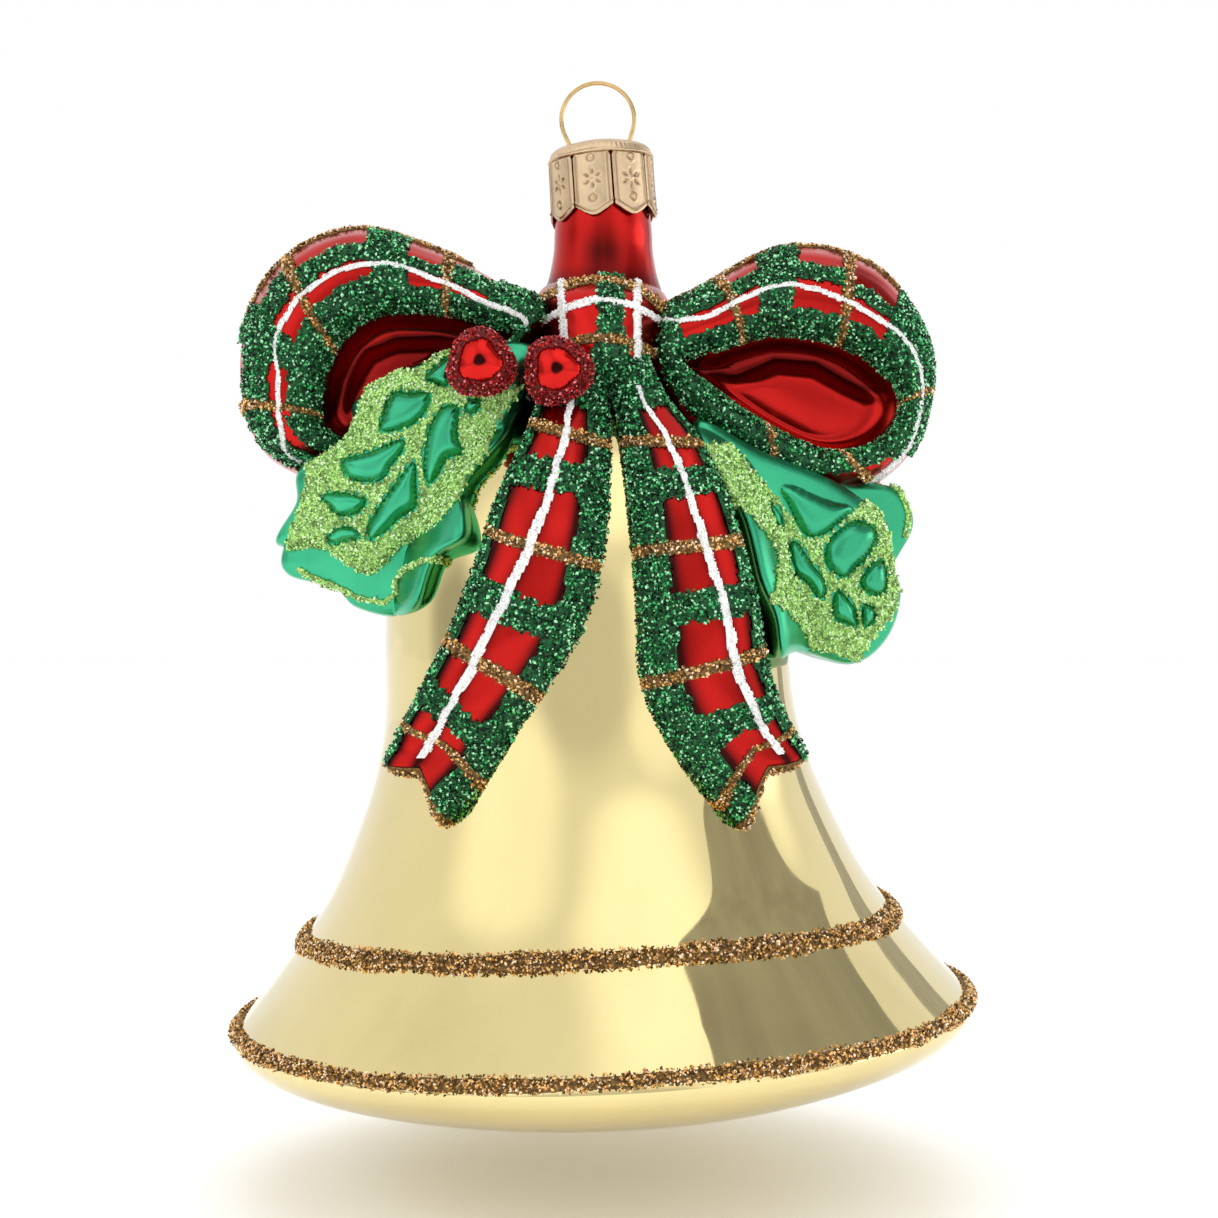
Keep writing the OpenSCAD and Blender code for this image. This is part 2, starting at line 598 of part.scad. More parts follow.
hanger_wire();
crown_cap();
neck_tube();
bell_shell();
bow_knot();
bow_loop_left();
bow_loop_right();
tail_left_front();
tail_right_front();
tail_left_back();
tail_right_back();
leaf_left();
leaf_left_rear();
leaf_right();
leaf_right_rear();
berry_left_front();
berry_right_front();
berry_left_back();
berry_right_back();
berry_rings_front();
berry_rings_back();
waist_glitter_band();
rim_glitter_band();
loop_left_green();
loop_right_green();
loop_gold_lines();
loop_white_lines();
knot_green();
knot_gold_lines();
knot_white_lines();
tail_green_front();
tail_gold_lines_front();
tail_white_lines_front();
tail_green_back();
tail_gold_lines_back();
tail_white_lines_back();
leaf_left_glitter();
leaf_right_glitter();
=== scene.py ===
import math

import bpy
import numpy as np
from bpy.props import FloatProperty, FloatVectorProperty, IntProperty, PointerProperty
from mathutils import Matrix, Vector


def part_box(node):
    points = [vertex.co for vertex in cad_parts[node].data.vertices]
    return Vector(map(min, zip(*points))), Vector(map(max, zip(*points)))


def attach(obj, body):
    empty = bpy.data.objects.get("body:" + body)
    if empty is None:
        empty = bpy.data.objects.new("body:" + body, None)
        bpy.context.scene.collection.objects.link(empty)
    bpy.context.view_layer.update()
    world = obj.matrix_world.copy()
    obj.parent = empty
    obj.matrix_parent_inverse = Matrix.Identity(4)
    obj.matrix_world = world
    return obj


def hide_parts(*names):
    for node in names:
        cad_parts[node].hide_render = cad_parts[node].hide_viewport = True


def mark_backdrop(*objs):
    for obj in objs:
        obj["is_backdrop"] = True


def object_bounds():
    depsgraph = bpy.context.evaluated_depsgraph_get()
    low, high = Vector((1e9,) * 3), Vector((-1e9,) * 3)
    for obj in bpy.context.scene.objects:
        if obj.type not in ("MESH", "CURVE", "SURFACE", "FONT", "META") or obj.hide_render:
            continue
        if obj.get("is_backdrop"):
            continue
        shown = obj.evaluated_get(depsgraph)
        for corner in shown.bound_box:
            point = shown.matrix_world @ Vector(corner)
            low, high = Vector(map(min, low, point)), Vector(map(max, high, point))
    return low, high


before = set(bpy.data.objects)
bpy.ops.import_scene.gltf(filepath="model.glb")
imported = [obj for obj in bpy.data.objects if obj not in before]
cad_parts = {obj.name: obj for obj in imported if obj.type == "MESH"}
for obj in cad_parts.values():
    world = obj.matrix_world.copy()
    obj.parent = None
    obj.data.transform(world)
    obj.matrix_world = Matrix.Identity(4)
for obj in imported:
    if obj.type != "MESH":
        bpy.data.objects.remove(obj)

bl_info = {
    "name": "Glass Bell Ornament",
    "version": (1, 0, 0),
    "blender": (4, 5, 0),
    "location": "3D View > Sidebar > Ornament",
    "description": "Builds a blown glass bell with a tartan bow, holly, a stamped crown and a wire hanger",
    "category": "Add Mesh",
}

# ---- Places ----
# The glass is drawn in millimetres as (x, y, height above the bell's lip), with -y the front.

MM = 0.001
NECK_TOP_ABOVE_LIP = 119.2
neck_low, neck_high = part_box("neck_tube")
AXIS_X = (neck_low[0] + neck_high[0]) / 2
LIP_Z = neck_high[2] - NECK_TOP_ABOVE_LIP * MM
BELL_LEAN = math.radians(2.7)
CROWN_LEAN = math.radians(4)
FRONT, BACK = -1, 1


def glass_place(points):
    """Glass millimetres to the frame's metres."""
    return points * MM + np.array([AXIS_X, 0, LIP_Z])


def leaning(points, angle):
    """Points turned about the y axis, so that what stands above the origin leans towards -x."""
    x, y, z = points[:, 0], points[:, 1], points[:, 2]
    c, s = math.cos(angle), math.sin(angle)
    return np.stack([x * c - z * s, y, x * s + z * c], 1)


def bell_place(points):
    """Millimetres in the bell's own upright frame to the frame's metres."""
    return glass_place(leaning(points, BELL_LEAN))


def crown_place(points):
    """Millimetres in the crown's own upright frame to the frame's metres."""
    return leaning(points, CROWN_LEAN) * MM


# ---- Curves ----

def curve_at(points, t, closed=False):
    """Places on a smooth curve through the points, with t from 0 at the first to 1 at the last."""
    p = np.asarray(points, float)
    if p.ndim == 1:
        p = p[:, None]
    n = len(p)
    spans = n if closed else n - 1
    s = (np.asarray(t) % 1.0 if closed else np.clip(t, 0, 1)) * spans
    i = np.minimum(np.floor(s).astype(int), spans - 1)
    f = (s - i)[..., None]
    if closed:
        a, b, c, d = p[(i - 1) % n], p[i % n], p[(i + 1) % n], p[(i + 2) % n]
    else:
        a, b, c, d = p[np.maximum(i - 1, 0)], p[i], p[i + 1], p[np.minimum(i + 2, n - 1)]
    return 0.5 * (2 * b + (c - a) * f + (2 * a - 5 * b + 4 * c - d) * f ** 2 + (3 * b - a - 3 * c + d) * f ** 3)


def smooth(x, knots):
    """A smooth line through (x, y) knots."""
    xs, ys = np.array(knots, float).T
    slope = np.gradient(ys, xs)
    i = np.clip(np.searchsorted(xs, x, side="right") - 1, 0, len(xs) - 2)
    w = xs[i + 1] - xs[i]
    f = np.clip((x - xs[i]) / w, 0, 1)
    return ((2 * f ** 3 - 3 * f ** 2 + 1) * ys[i] + (f ** 3 - 2 * f ** 2 + f) * w * slope[i]
            + (3 * f ** 2 - 2 * f ** 3) * ys[i + 1] + (f ** 3 - f ** 2) * w * slope[i + 1])


def step(x, low, high):
    """0 below low, 1 above high, and smooth between them."""
    f = np.clip((x - low) / (high - low), 0, 1)
    return f * f * (3 - 2 * f)


def even(points):
    """A function from 0..1 to places spaced evenly along a line of points."""
    p = np.asarray(points, float)
    run = np.concatenate([[0], np.cumsum(np.linalg.norm(np.diff(p, axis=0), axis=1))])
    return lambda t: np.stack([np.interp(t * run[-1], run, p[:, k]) for k in range(p.shape[1])], -1)


def wobble(u, v, seed, size=1.0):
    """A gentle unevenness of a hand-laid edge, about -1 to 1."""
    a = seed * 1.7
    return 0.5 * (np.sin(u * 61 / size + v * 23 + a) + 0.6 * np.sin(u * 137 / size - v * 71 + 2 * a)
                  + 0.5 * np.sin(v * 191 + u * 43 + 3 * a))


def inside_by(x, h, outline):
    """How far places lie inside a flat outline, negative outside it."""
    p = np.asarray(outline, float)
    q = np.roll(p, -1, 0)
    x, h = x[:, None], h[:, None]
    ex, eh = q[:, 0] - p[:, 0], q[:, 1] - p[:, 1]
    t = np.clip(((x - p[:, 0]) * ex + (h - p[:, 1]) * eh) / (ex ** 2 + eh ** 2), 0, 1)
    gap = np.hypot(x - p[:, 0] - t * ex, h - p[:, 1] - t * eh).min(1)
    rising = (p[:, 1] <= h) != (q[:, 1] <= h)
    with np.errstate(divide="ignore", invalid="ignore"):
        crossing = rising & (x < p[:, 0] + (h - p[:, 1]) * ex / np.where(eh == 0, 1, eh))
    return np.where(crossing.sum(1) % 2 == 1, gap, -gap)


def away_from(x, h, line):
    """How far places lie from an open flat line."""
    p = np.asarray(line, float)
    a, e = p[:-1], np.diff(p, axis=0)
    t = np.clip(((x[:, None] - a[:, 0]) * e[:, 0] + (h[:, None] - a[:, 1]) * e[:, 1]) / (e ** 2).sum(1), 0, 1)
    return np.hypot(x[:, None] - a[:, 0] - t * e[:, 0], h[:, None] - a[:, 1] - t * e[:, 1]).min(1)


# ---- Making pieces ----

def clear_selection():
    """Leaves edit mode with nothing selected."""
    if bpy.context.mode != "OBJECT":
        bpy.ops.object.mode_set(mode="OBJECT")
    bpy.ops.object.select_all(action="DESELECT")


def coordinates(piece):
    """A piece's corners as an array."""
    flat = np.empty(len(piece.data.vertices) * 3)
    piece.data.vertices.foreach_get("co", flat)
    return flat.reshape(-1, 3)


def blow(name, surface, around, along, place=glass_place, pool=None, keep=None, thick=0.0, offset=0.6):
    """A skin made from a grid whose corners move to surface(u, v), with its seam and poles merged.

    A per-corner value from 0 to 1 may be given, which is stored on the skin: painted shade for the lacquers and
    patina for the crown. keep(u, v) picks the faces that stay, which get a wall of thick mm."""
    clear_selection()
    bpy.ops.mesh.primitive_grid_add(x_subdivisions=around, y_subdivisions=along, size=1)
    piece = bpy.context.object
    piece.name = piece.data.name = name
    flat = coordinates(piece)
    u, v = flat[:, 0] + 0.5, flat[:, 1] + 0.5
    if pool is not None:
        depth = piece.data.attributes.new("pool", "FLOAT", "POINT")
        depth.data.foreach_set("value", np.clip(pool(u, v), 0, 1).astype(np.float32))
    piece.data.vertices.foreach_set("co", place(surface(u, v)).ravel())
    if keep is not None:
        faces = np.array([f.vertices[:] for f in piece.data.polygons])
        bpy.ops.object.mode_set(mode="EDIT")
        bpy.ops.mesh.select_mode(type="FACE")
        bpy.ops.object.mode_set(mode="OBJECT")
        piece.data.polygons.foreach_set("select", ~keep(u[faces].mean(1), v[faces].mean(1)))
        bpy.ops.object.mode_set(mode="EDIT")
        bpy.ops.mesh.delete(type="FACE")
    else:
        bpy.ops.object.mode_set(mode="EDIT")
    bpy.ops.mesh.select_mode(type="VERT")
    bpy.ops.mesh.select_all(action="SELECT")
    bpy.ops.mesh.remove_doubles(threshold=2e-6)
    if keep is None:
        bpy.ops.mesh.normals_make_consistent(inside=False)
    elif turned_out(surface) < 0:
        bpy.ops.mesh.flip_normals()
    bpy.ops.object.mode_set(mode="OBJECT")
    if thick:
        wall = piece.modifiers.new("wall", "SOLIDIFY")
        wall.thickness = thick * MM
        wall.offset = offset
        bpy.ops.object.modifier_apply(modifier=wall.name)
    bpy.ops.object.shade_smooth()
    return piece


def turned_out(surface):
    """1 where the cross product along u and v points out of a closed surface, -1 where it points in."""
    n = 60
    grid = np.linspace(0, 1, n + 1)
    u, v = (g.ravel() for g in np.meshgrid(grid, grid))
    p = surface(u, v).reshape(n + 1, n + 1, 3)
    middle = p.reshape(-1, 3).mean(0)
    across, down = p[:-1, 1:] - p[:-1, :-1], p[1:, :-1] - p[:-1, :-1]
    return 1 if (np.cross(across, down) * (p[:-1, :-1] - middle)).sum() > 0 else -1


def normals_of(surface, u, v, sign):
    """Outward normals at places of a surface."""
    e = 0.002
    n = np.cross(surface(u + e, v) - surface(u - e, v),
                 surface(u, np.clip(v + e, 0, 1)) - surface(u, np.clip(v - e, 0, 1))) * sign
    return n / np.maximum(np.linalg.norm(n, axis=1), 1e-9)[:, None]


def spots_on(surface, inside, per_mm2, rng, cells=(420, 260)):
    """Random places spread evenly over the part of a surface where inside(u, v) is true, with their normals."""
    us, vs = np.linspace(0, 1, cells[0] + 1), np.linspace(0, 1, cells[1] + 1)
    u, v = (g.ravel() for g in np.meshgrid(us, vs))
    p = surface(u, v).reshape(cells[1] + 1, cells[0] + 1, 3)
    area = np.linalg.norm(np.cross(p[:-1, 1:] - p[:-1, :-1], p[1:, :-1] - p[:-1, :-1]), axis=2).ravel()
    uc, vc = (g.ravel() for g in np.meshgrid((us[1:] + us[:-1]) / 2, (vs[1:] + vs[:-1]) / 2))
    weight = area * inside(uc, vc)
    count = int(weight.sum() * per_mm2)
    pick = rng.choice(len(weight), count, p=weight / weight.sum())
    u = uc[pick] + (rng.random(count) - 0.5) / cells[0]
    v = vc[pick] + (rng.random(count) - 0.5) / cells[1]
    return surface(u, v), normals_of(surface, u, v, turned_out(surface))


def sprinkle(name, spots, normals, size, tints, rng, place=glass_place):
    """Faceted grains of glitter on the spots, each a small flattened crystal turned at random."""
    clear_selection()
    bpy.ops.mesh.primitive_cone_add(vertices=4, radius1=0.5, radius2=0, depth=0.5)
    piece = bpy.context.object
    piece.name = piece.data.name = name
    bpy.ops.object.mode_set(mode="EDIT")
    bpy.ops.mesh.select_mode(type="FACE")
    bpy.ops.mesh.select_all(action="DESELECT")
    bpy.ops.object.mode_set(mode="OBJECT")
    for side in piece.data.polygons:
        side.select = side.normal.z < -0.9
    bpy.ops.object.mode_set(mode="EDIT")
    bpy.ops.mesh.poke(offset=0.5)
    bpy.ops.object.mode_set(mode="OBJECT")
    crystal = coordinates(piece)
    crystal -= crystal.mean(0)
    sides = np.array([f.vertices[:] for f in piece.data.polygons])
    count = len(spots)
    q = rng.normal(size=(count, 4))
    w, x, y, z = (q / np.linalg.norm(q, axis=1)[:, None]).T
    turn = np.stack([1 - 2 * (y * y + z * z), 2 * (x * y - w * z), 2 * (x * z + w * y),
                     2 * (x * y + w * z), 1 - 2 * (x * x + z * z), 2 * (y * z - w * x),
                     2 * (x * z - w * y), 2 * (y * z + w * x), 1 - 2 * (x * x + y * y)], 1).reshape(-1, 3, 3)
    shape = crystal[None] * np.array([1, 0.85, 0.55]) * (size * rng.uniform(0.7, 1.35, count))[:, None, None]
    shape = shape * rng.uniform(0.75, 1.2, (count, len(crystal), 1))
    middle = spots + normals * (size * rng.uniform(0.25, 0.95, count))[:, None]
    corners = np.einsum("nij,nkj->nki", turn, shape) + middle[:, None]
    faces = sides[None] + (np.arange(count) * len(crystal))[:, None, None]
    grains = bpy.data.meshes.new(name)
    grains.from_pydata(place(corners.reshape(-1, 3)), [], faces.reshape(-1, sides.shape[1]))
    for tint in tints:
        grains.materials.append(tint)
    # Each grain gets one of the lit and shaded copies at random, from painted shade to painted glint
    grains.polygons.foreach_set("material_index", np.repeat(rng.choice(len(tints), count, p=SHADE_ODDS), len(sides)))
    spare = piece.data
    piece.data = grains
    bpy.data.meshes.remove(spare)
    grains.name = name
    return piece


def settle(piece, body, slot, material, *nodes):
    """Gives a finished piece its body and material, and hides the nodes that it stands for. The slot is not used."""
    if material is not None:
        piece.data.materials.clear()
        piece.data.materials.append(material)
    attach(piece, body)
    if nodes:
        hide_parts(*nodes)


# ---- Materials ----

GLASS_IOR = 1.5
# The white mixed into the brighter grain tints as a painted glint
PAINTED_GLINT_WHITE = 0.95


class Finish:
    """A material with a Principled shader, and short ways to add nodes to it."""

    def __init__(self, name, colour, metallic=0.0, roughness=0.3, coat=0.0, coat_roughness=0.05):
        self.material = bpy.data.materials.new(name)
        self.material.use_nodes = True
        self.material.diffuse_color = (*colour[:3], 1)
        self.tree = self.material.node_tree
        self.shader = self.tree.nodes["Principled BSDF"]
        for socket, value in (("Base Color", (*colour[:3], 1)), ("Metallic", metallic), ("Roughness", roughness),
                              ("Coat Weight", coat), ("Coat Roughness", coat_roughness), ("IOR", GLASS_IOR)):
            self.shader.inputs[socket].default_value = value
        self.coordinates = self.tree.nodes.new("ShaderNodeTexCoord")

    def node(self, kind, inputs=None, **settings):
        """A new node, with links or values for its inputs."""
        made = self.tree.nodes.new("ShaderNode" + kind)
        for key, value in settings.items():
            setattr(made, key, value)
        for key, value in (inputs or {}).items():
            if isinstance(value, bpy.types.NodeSocket):
                self.tree.links.new(value, made.inputs[key])
            else:
                made.inputs[key].default_value = value
        return made

    def noise(self, scale, detail=3.0, roughness=0.55):
        """Noise through the piece."""
        return self.node("TexNoise", {"Vector": self.coordinates.outputs["Object"], "Scale": scale,
                                      "Detail": detail, "Roughness": roughness}).outputs["Fac"]

    def ramp(self, value, *stops):
        """Colours along a value, as (place, colour) stops."""
        made = self.node("ValToRGB", {"Fac": value})
        bar = made.color_ramp.elements
        while len(bar) < len(stops):
            bar.new(0.5)
        for element, (place, colour) in zip(bar, stops):
            element.position = place
            element.color = (*colour[:3], 1)
        return made.outputs["Color"]

    def mix(self, factor, first, second):
        """A blend of two colours."""
        made = self.tree.nodes.new("ShaderNodeMix")
        made.data_type = "RGBA"
        for key, value in ((0, factor), (6, first), (7, second)):
            if isinstance(value, bpy.types.NodeSocket):
                self.tree.links.new(value, made.inputs[key])
            elif key:
                made.inputs[key].default_value = (*value[:3], 1)
            else:
                made.inputs[key].default_value = value
        return made.outputs[2]

    def between(self, value, low, high, start=0.3, end=0.7):
        """A value's range from start to end, spread from low to high."""
        return self.node("MapRange", {"Value": value, "From Min": start, "From Max": end,
                                      "To Min": low, "To Max": high}).outputs["Result"]

    def feed(self, socket, value):
        """Links a value to a socket of the shader."""
        self.tree.links.new(value, self.shader.inputs[socket])

    def bump(self, height, strength, distance):
        """Relief of a depth in millimetres."""
        made = self.node("Bump", {"Height": height, "Strength": strength, "Distance": distance * MM})
        self.feed("Normal", made.outputs["Normal"])


def shade(colour, factor):
    """A colour made lighter or darker."""
    return tuple(min(1.0, c * factor) for c in colour[:3])


def lacquer(name, colour, painted_shade_colour, roughness):
    """Transparent lacquer over silvered glass with a cloudy random tone, blended towards a painted shade colour where
    its corners are marked as shaded and in random streaks.
    """
    finish = Finish(name, colour, metallic=0.97, roughness=roughness, coat=0.1, coat_roughness=0.1)
    pool = finish.node("Attribute", attribute_name="pool").outputs["Fac"]
    cloudy = finish.noise(95, 4)
    streak = finish.between(finish.noise(34, 2), 0.0, 0.3)
    # The corners' painted shade, plus random streaks, sets how far the lacquer turns to its painted shade colour
    depth = finish.node("Math", {0: pool, 1: streak}, operation="ADD", use_clamp=True).outputs[0]
    thin = finish.ramp(cloudy, (0.3, shade(colour, 0.82)), (0.7, shade(colour, 1.12)))
    finish.feed("Base Color", finish.mix(depth, thin, painted_shade_colour))
    finish.feed("Roughness", finish.between(cloudy, roughness * 0.8, roughness * 1.25))
    finish.bump(finish.noise(260, 3), 0.06, 0.3)
    return finish.material


def mirrored_gold(name, colour):
    """Bright silvering under a thin yellow lacquer, with faint runs where it was poured out."""
    finish = Finish(name, colour, metallic=1.0, roughness=0.035, coat=0.3, coat_roughness=0.02)
    runs = finish.node("TexNoise", {"Vector": finish.node("Mapping", {
        "Vector": finish.coordinates.outputs["Object"], "Scale": (1, 1, 0.25)}).outputs["Vector"],
        "Scale": 70.0, "Detail": 4.0}).outputs["Fac"]
    finish.feed("Base Color", finish.ramp(runs, (0.25, shade(colour, 0.9)), (0.5, colour),
                                          (0.8, shade(colour, 1.06))))
    finish.feed("Roughness", finish.between(finish.noise(160, 4), 0.02, 0.075))
    finish.bump(finish.noise(38, 2), 0.05, 0.5)
    return finish.material


def glue(name, colour):
    """Tinted glue with fine glitter dust in it, under the grains."""
    pale = min(colour) > 0.8
    finish = Finish(name, colour, metallic=0.0 if pale else 0.45, roughness=0.55)
    dust = finish.noise(2600, 2, 0.7)
    finish.feed("Base Color", finish.ramp(dust, (0.35, shade(colour, 0.9 if pale else 0.35)), (0.55, colour),
                                          (0.75, shade(colour, 1.7))))
    finish.bump(dust, 0.8, 0.25)
    return finish.material


def grain_tints(name, colour, recipe, metallic, roughness):
    """Lit and shaded copies of one colour of glitter, from painted shade to painted glint: each is a shade factor and
    a share of white.
    """
    tints = []
    for number, (factor, white) in enumerate(recipe, 1):
        tint = tuple(c + (PAINTED_GLINT_WHITE - c) * white for c in shade(colour, factor))
        finish = Finish(f"{name}_{number}", tint, metallic=metallic, roughness=roughness)
        finish.feed("Roughness", finish.between(finish.noise(900), roughness * 0.6, roughness * 1.4))
        tints.append(finish.material)
    return tints


# ---- The shapes of the glass ----

# The bell's wall as (radius, height), from its crown to its lip, and the shallow dome that closes it
BELL_WALL = [[0.01, 85.5], [8, 84.6], [15, 81.5], [21, 76], [25, 68.5], [27.3, 60], [28, 51], [28.4, 42],
             [29.8, 35], [32.2, 28.3], [36.8, 18.5], [41.3, 12], [46.3, 5.8], [50.6, 0.9]]
LIP_R, DOME_DEPTH = 51.2, 11.6
RIPPLE = 0.16
WALL_STEPS = 400
dome_turn = np.radians(np.linspace(0, 90, 60))
bell_line = np.concatenate([curve_at(BELL_WALL, np.linspace(0, 1, WALL_STEPS)),
                            np.stack([LIP_R * np.cos(dome_turn), -DOME_DEPTH * np.sin(dome_turn)], 1)])
bell_line[[0, -1], 0] = 0
bell_profile = even(bell_line)
bell_length = np.linalg.norm(np.diff(bell_line, axis=0), axis=1).sum()


def along_bell(height):
    """The place on the bell's profile, 0 to 1, at a height of its wall."""
    tries = np.linspace(0, 0.75, 3000)
    return tries[np.abs(bell_profile(tries)[:, 1] - height).argmin()]


def bell_surface(u, v, lift=0.0):
    """The bell, v from its crown down to the middle of its closed bottom."""
    r, h = bell_profile(v).T
    e = 0.003
    way = bell_profile(np.minimum(v + e, 1)) - bell_profile(np.maximum(v - e, 0))
    way /= np.maximum(np.linalg.norm(way, axis=1), 1e-9)[:, None]
    turn = 2 * np.pi * u
    uneven = RIPPLE * np.minimum(r / 25, 1) * (
        np.sin(3 * turn + 1 + h / 19) * 0.5 + np.sin(5 * turn - h / 11) * 0.35 + np.sin(2 * turn + h / 7) * 0.3
        + np.sin(9 * turn + h / 5) * 0.12)
    out = lift + uneven * np.where(v < 0.999, 1, 0)
    r, h = r - way[:, 1] * out, h + way[:, 0] * out
    return np.stack([r * np.sin(turn), -r * np.cos(turn), h], 1)


NECK_LINE = [[0, NECK_TOP_ABOVE_LIP], [6.3, NECK_TOP_ABOVE_LIP], [6.3, 114], [6.55, 111], [6.8, 108.4], [6.95, 105.6],
             [7.5, 102.4], [8.5, 99], [9, 96], [8, 90], [0, 88]]
neck_profile = even(np.concatenate([[NECK_LINE[0]], curve_at(NECK_LINE[1:-1], np.linspace(0, 1, 200)),
                                    [NECK_LINE[-1]]]))


def neck_surface(u, v):
    """The neck, from inside the crown down into the knot."""
    r, h = neck_profile(v).T
    turn = 2 * np.pi * u
    return np.stack([r * np.sin(turn), -r * np.cos(turn), h], 1)


# Front outlines of the bow, as (x, height)
LOOP_RIGHT_OUTER = [[7, 95.4], [14, 100.4], [25.5, 105.9], [37.2, 103.3], [43.9, 94.6], [45, 86], [41.4, 75.8],
                    [31, 70.7], [18.2, 75.6], [8.2, 84]]
LOOP_RIGHT_INNER = [[10.2, 89], [16.5, 91.4], [24, 92.9], [33, 91.2], [39.3, 86.6], [40.2, 81.8], [36.5, 77.8],
                    [30, 77], [22, 80.6], [14.5, 85.6]]
LOOP_LEFT_OUTER = [[-7, 95.6], [-14, 100.7], [-23, 105.4], [-34, 108.4], [-44, 104.3], [-49.7, 95], [-50, 84],
                   [-46, 76.3], [-36, 74], [-20, 82]]
LOOP_LEFT_INNER = [[-11.5, 92.6], [-16.5, 94.8], [-23, 96], [-31, 95.6], [-36, 91.5], [-38, 86], [-38.3, 81],
                   [-35, 78.5], [-29, 80.5], [-18.5, 88.5]]
# The crease across the floor of each recess, the band's share of the loop and the depth across the band
CREASE_RIGHT = [[10.1, 89.3], [18, 87.9], [23.6, 90.1], [29.2, 89.6], [34.3, 86.8], [39.9, 85.1]]
CREASE_LEFT = [[-38, 79], [-36, 87], [-32.8, 91.3], [-28.5, 93], [-22.5, 93.2], [-16, 92.5]]
BAND_SHARE = 0.8
BAND_DEPTH = [(0, 0), (0.03, 0.3), (0.1, 0.55), (0.25, 0.8), (0.5, 0.97), (0.7, 1), (0.86, 0.93), (0.95, 0.78),
              (1, 0.62)]


def across_loop(v):
    """The place across a loop: 0 at the silhouette, 1 at the band's inner edge, more in the recess."""
    return np.abs(1 - 2 * v) / BAND_SHARE


def loop_surface(outer, inner, crease, shares, thickness):
    """A bow loop: a rounded band round a recess, the same on the front and the back."""
    middle = np.mean(inner, 0)

    def surface(u, v):
        w = across_loop(v)
        band, sunk = np.clip(w, 0, 1), np.clip((w - 1) / (1 / BAND_SHARE - 1), 0, 1)
        o, c = curve_at(outer, u, True), curve_at(inner, u, True)
        edge = o + (c - o) * band[:, None]
        flat = middle + (edge - middle) * (1 - sunk)[:, None]
        depth = smooth(band, BAND_DEPTH)
        floor = 0.36 + 0.14 * (1 - (1 - sunk) ** 2)
        floor -= 0.09 * np.exp(-(away_from(flat[:, 0], flat[:, 1], crease) / 1.6) ** 2)
        depth = depth + (floor - depth) * step(sunk, 0, 0.26)
        depth = depth * curve_at(shares, u, True)[:, 0]
        side = np.where(v < 0.5, FRONT, BACK)
        return np.stack([flat[:, 0], side * thickness * depth, flat[:, 1]], 1)
    return surface


KNOT_OUTLINE = [[-8.3, 100.4], [0, 102], [8, 100], [9.6, 94.5], [8.4, 87], [5, 80.5], [-4.5, 80.5], [-8.2, 87],
                [-9.6, 94.5]]
KNOT_MIDDLE = np.array([0, 92])


def knot_surface(thickness):
    """The knot: a pillow with a shallow waist where the ribbon is gathered."""
    def surface(u, v):
        turn = (v - 0.5) * np.pi
        o = curve_at(KNOT_OUTLINE, u, True)
        flat = KNOT_MIDDLE + (o - KNOT_MIDDLE) * (np.cos(turn) ** 0.9)[:, None]
        fold = 1 - 0.05 * np.exp(-((np.abs(flat[:, 0]) - 6.4) / 1.2) ** 2) + 0.02 * np.cos(flat[:, 1] * 0.7)
        return np.stack([flat[:, 0], thickness * np.sin(turn) * fold, flat[:, 1]], 1)
    return surface


# The two edges of each ribbon tail, as (x, height)
TAIL_LEFT = ([[-4.5, 90], [-7.3, 84], [-9.4, 78], [-13, 69.5], [-15, 63], [-17.8, 55], [-20.6, 48.6],
              [-23.8, 42.3], [-25.5, 38.8], [-26.7, 35.9]],
             [[-0.2, 90], [0.3, 82.5], [0.7, 75.7], [0.6, 68.4], [0, 61.5], [-1.5, 54.5], [-5, 47.5],
              [-10.4, 40], [-14.6, 33.6], [-20.4, 28.2]])
TAIL_RIGHT = ([[0.5, 90], [2.2, 82.5], [2.9, 75.7], [3.7, 69], [4.1, 61.5], [4.5, 54], [4.7, 46.8],
               [7.9, 39.2], [12.3, 32.9], [17.9, 27.3]],
              [[4.6, 90], [7.3, 83.5], [11.1, 78.4], [14.3, 72], [16.8, 64.4], [18.7, 56.8], [20, 49.2],
               [21.9, 43], [23.6, 39.8], [25.1, 37.2]])
# The distance of a tail's middle line from the bell's axis, from the knot down, and the depth of its notch
TAIL_DEPTH = [9.6, 15, 20, 23.6, 25.3, 26, 26, 25.7, 25.4, 25.4]
NOTCH = 0.075


def across_tail(u):
    """The place across a tail, 0 at its left edge and 1 at its right edge."""
    return (1 - np.cos(2 * np.pi * u)) / 2


def tail_surface(edges, face, thickness):
    """A ribbon tail: a flattened tube between its two edges, with a notched end."""
    def surface(u, v):
        c = across_tail(u)
        s = v * (1 - NOTCH * (1 - np.abs(2 * c - 1)) * step(v, 0.7, 1))
        left, right = curve_at(edges[0], s), curve_at(edges[1], s)
        flat = left + (right - left) * c[:, None]
        depth = curve_at(TAIL_DEPTH, s)[:, 0]
        thin = np.sqrt(np.clip(1 - (np.clip((v - 0.95) / 0.05, 0, 1)) ** 2, 0, 1)) * np.minimum(1, v / 0.02)
        bulge = thickness * np.sin(2 * np.pi * u) * thin * (1 + 0.04 * np.sin(s * 40) * np.sin(c * 7))
        out = np.stack([flat[:, 0], face * depth], 1)
        out /= np.linalg.norm(out, axis=1)[:, None]
        return np.stack([flat[:, 0] + out[:, 0] * bulge, face * depth + out[:, 1] * bulge, flat[:, 1]], 1)
    return surface


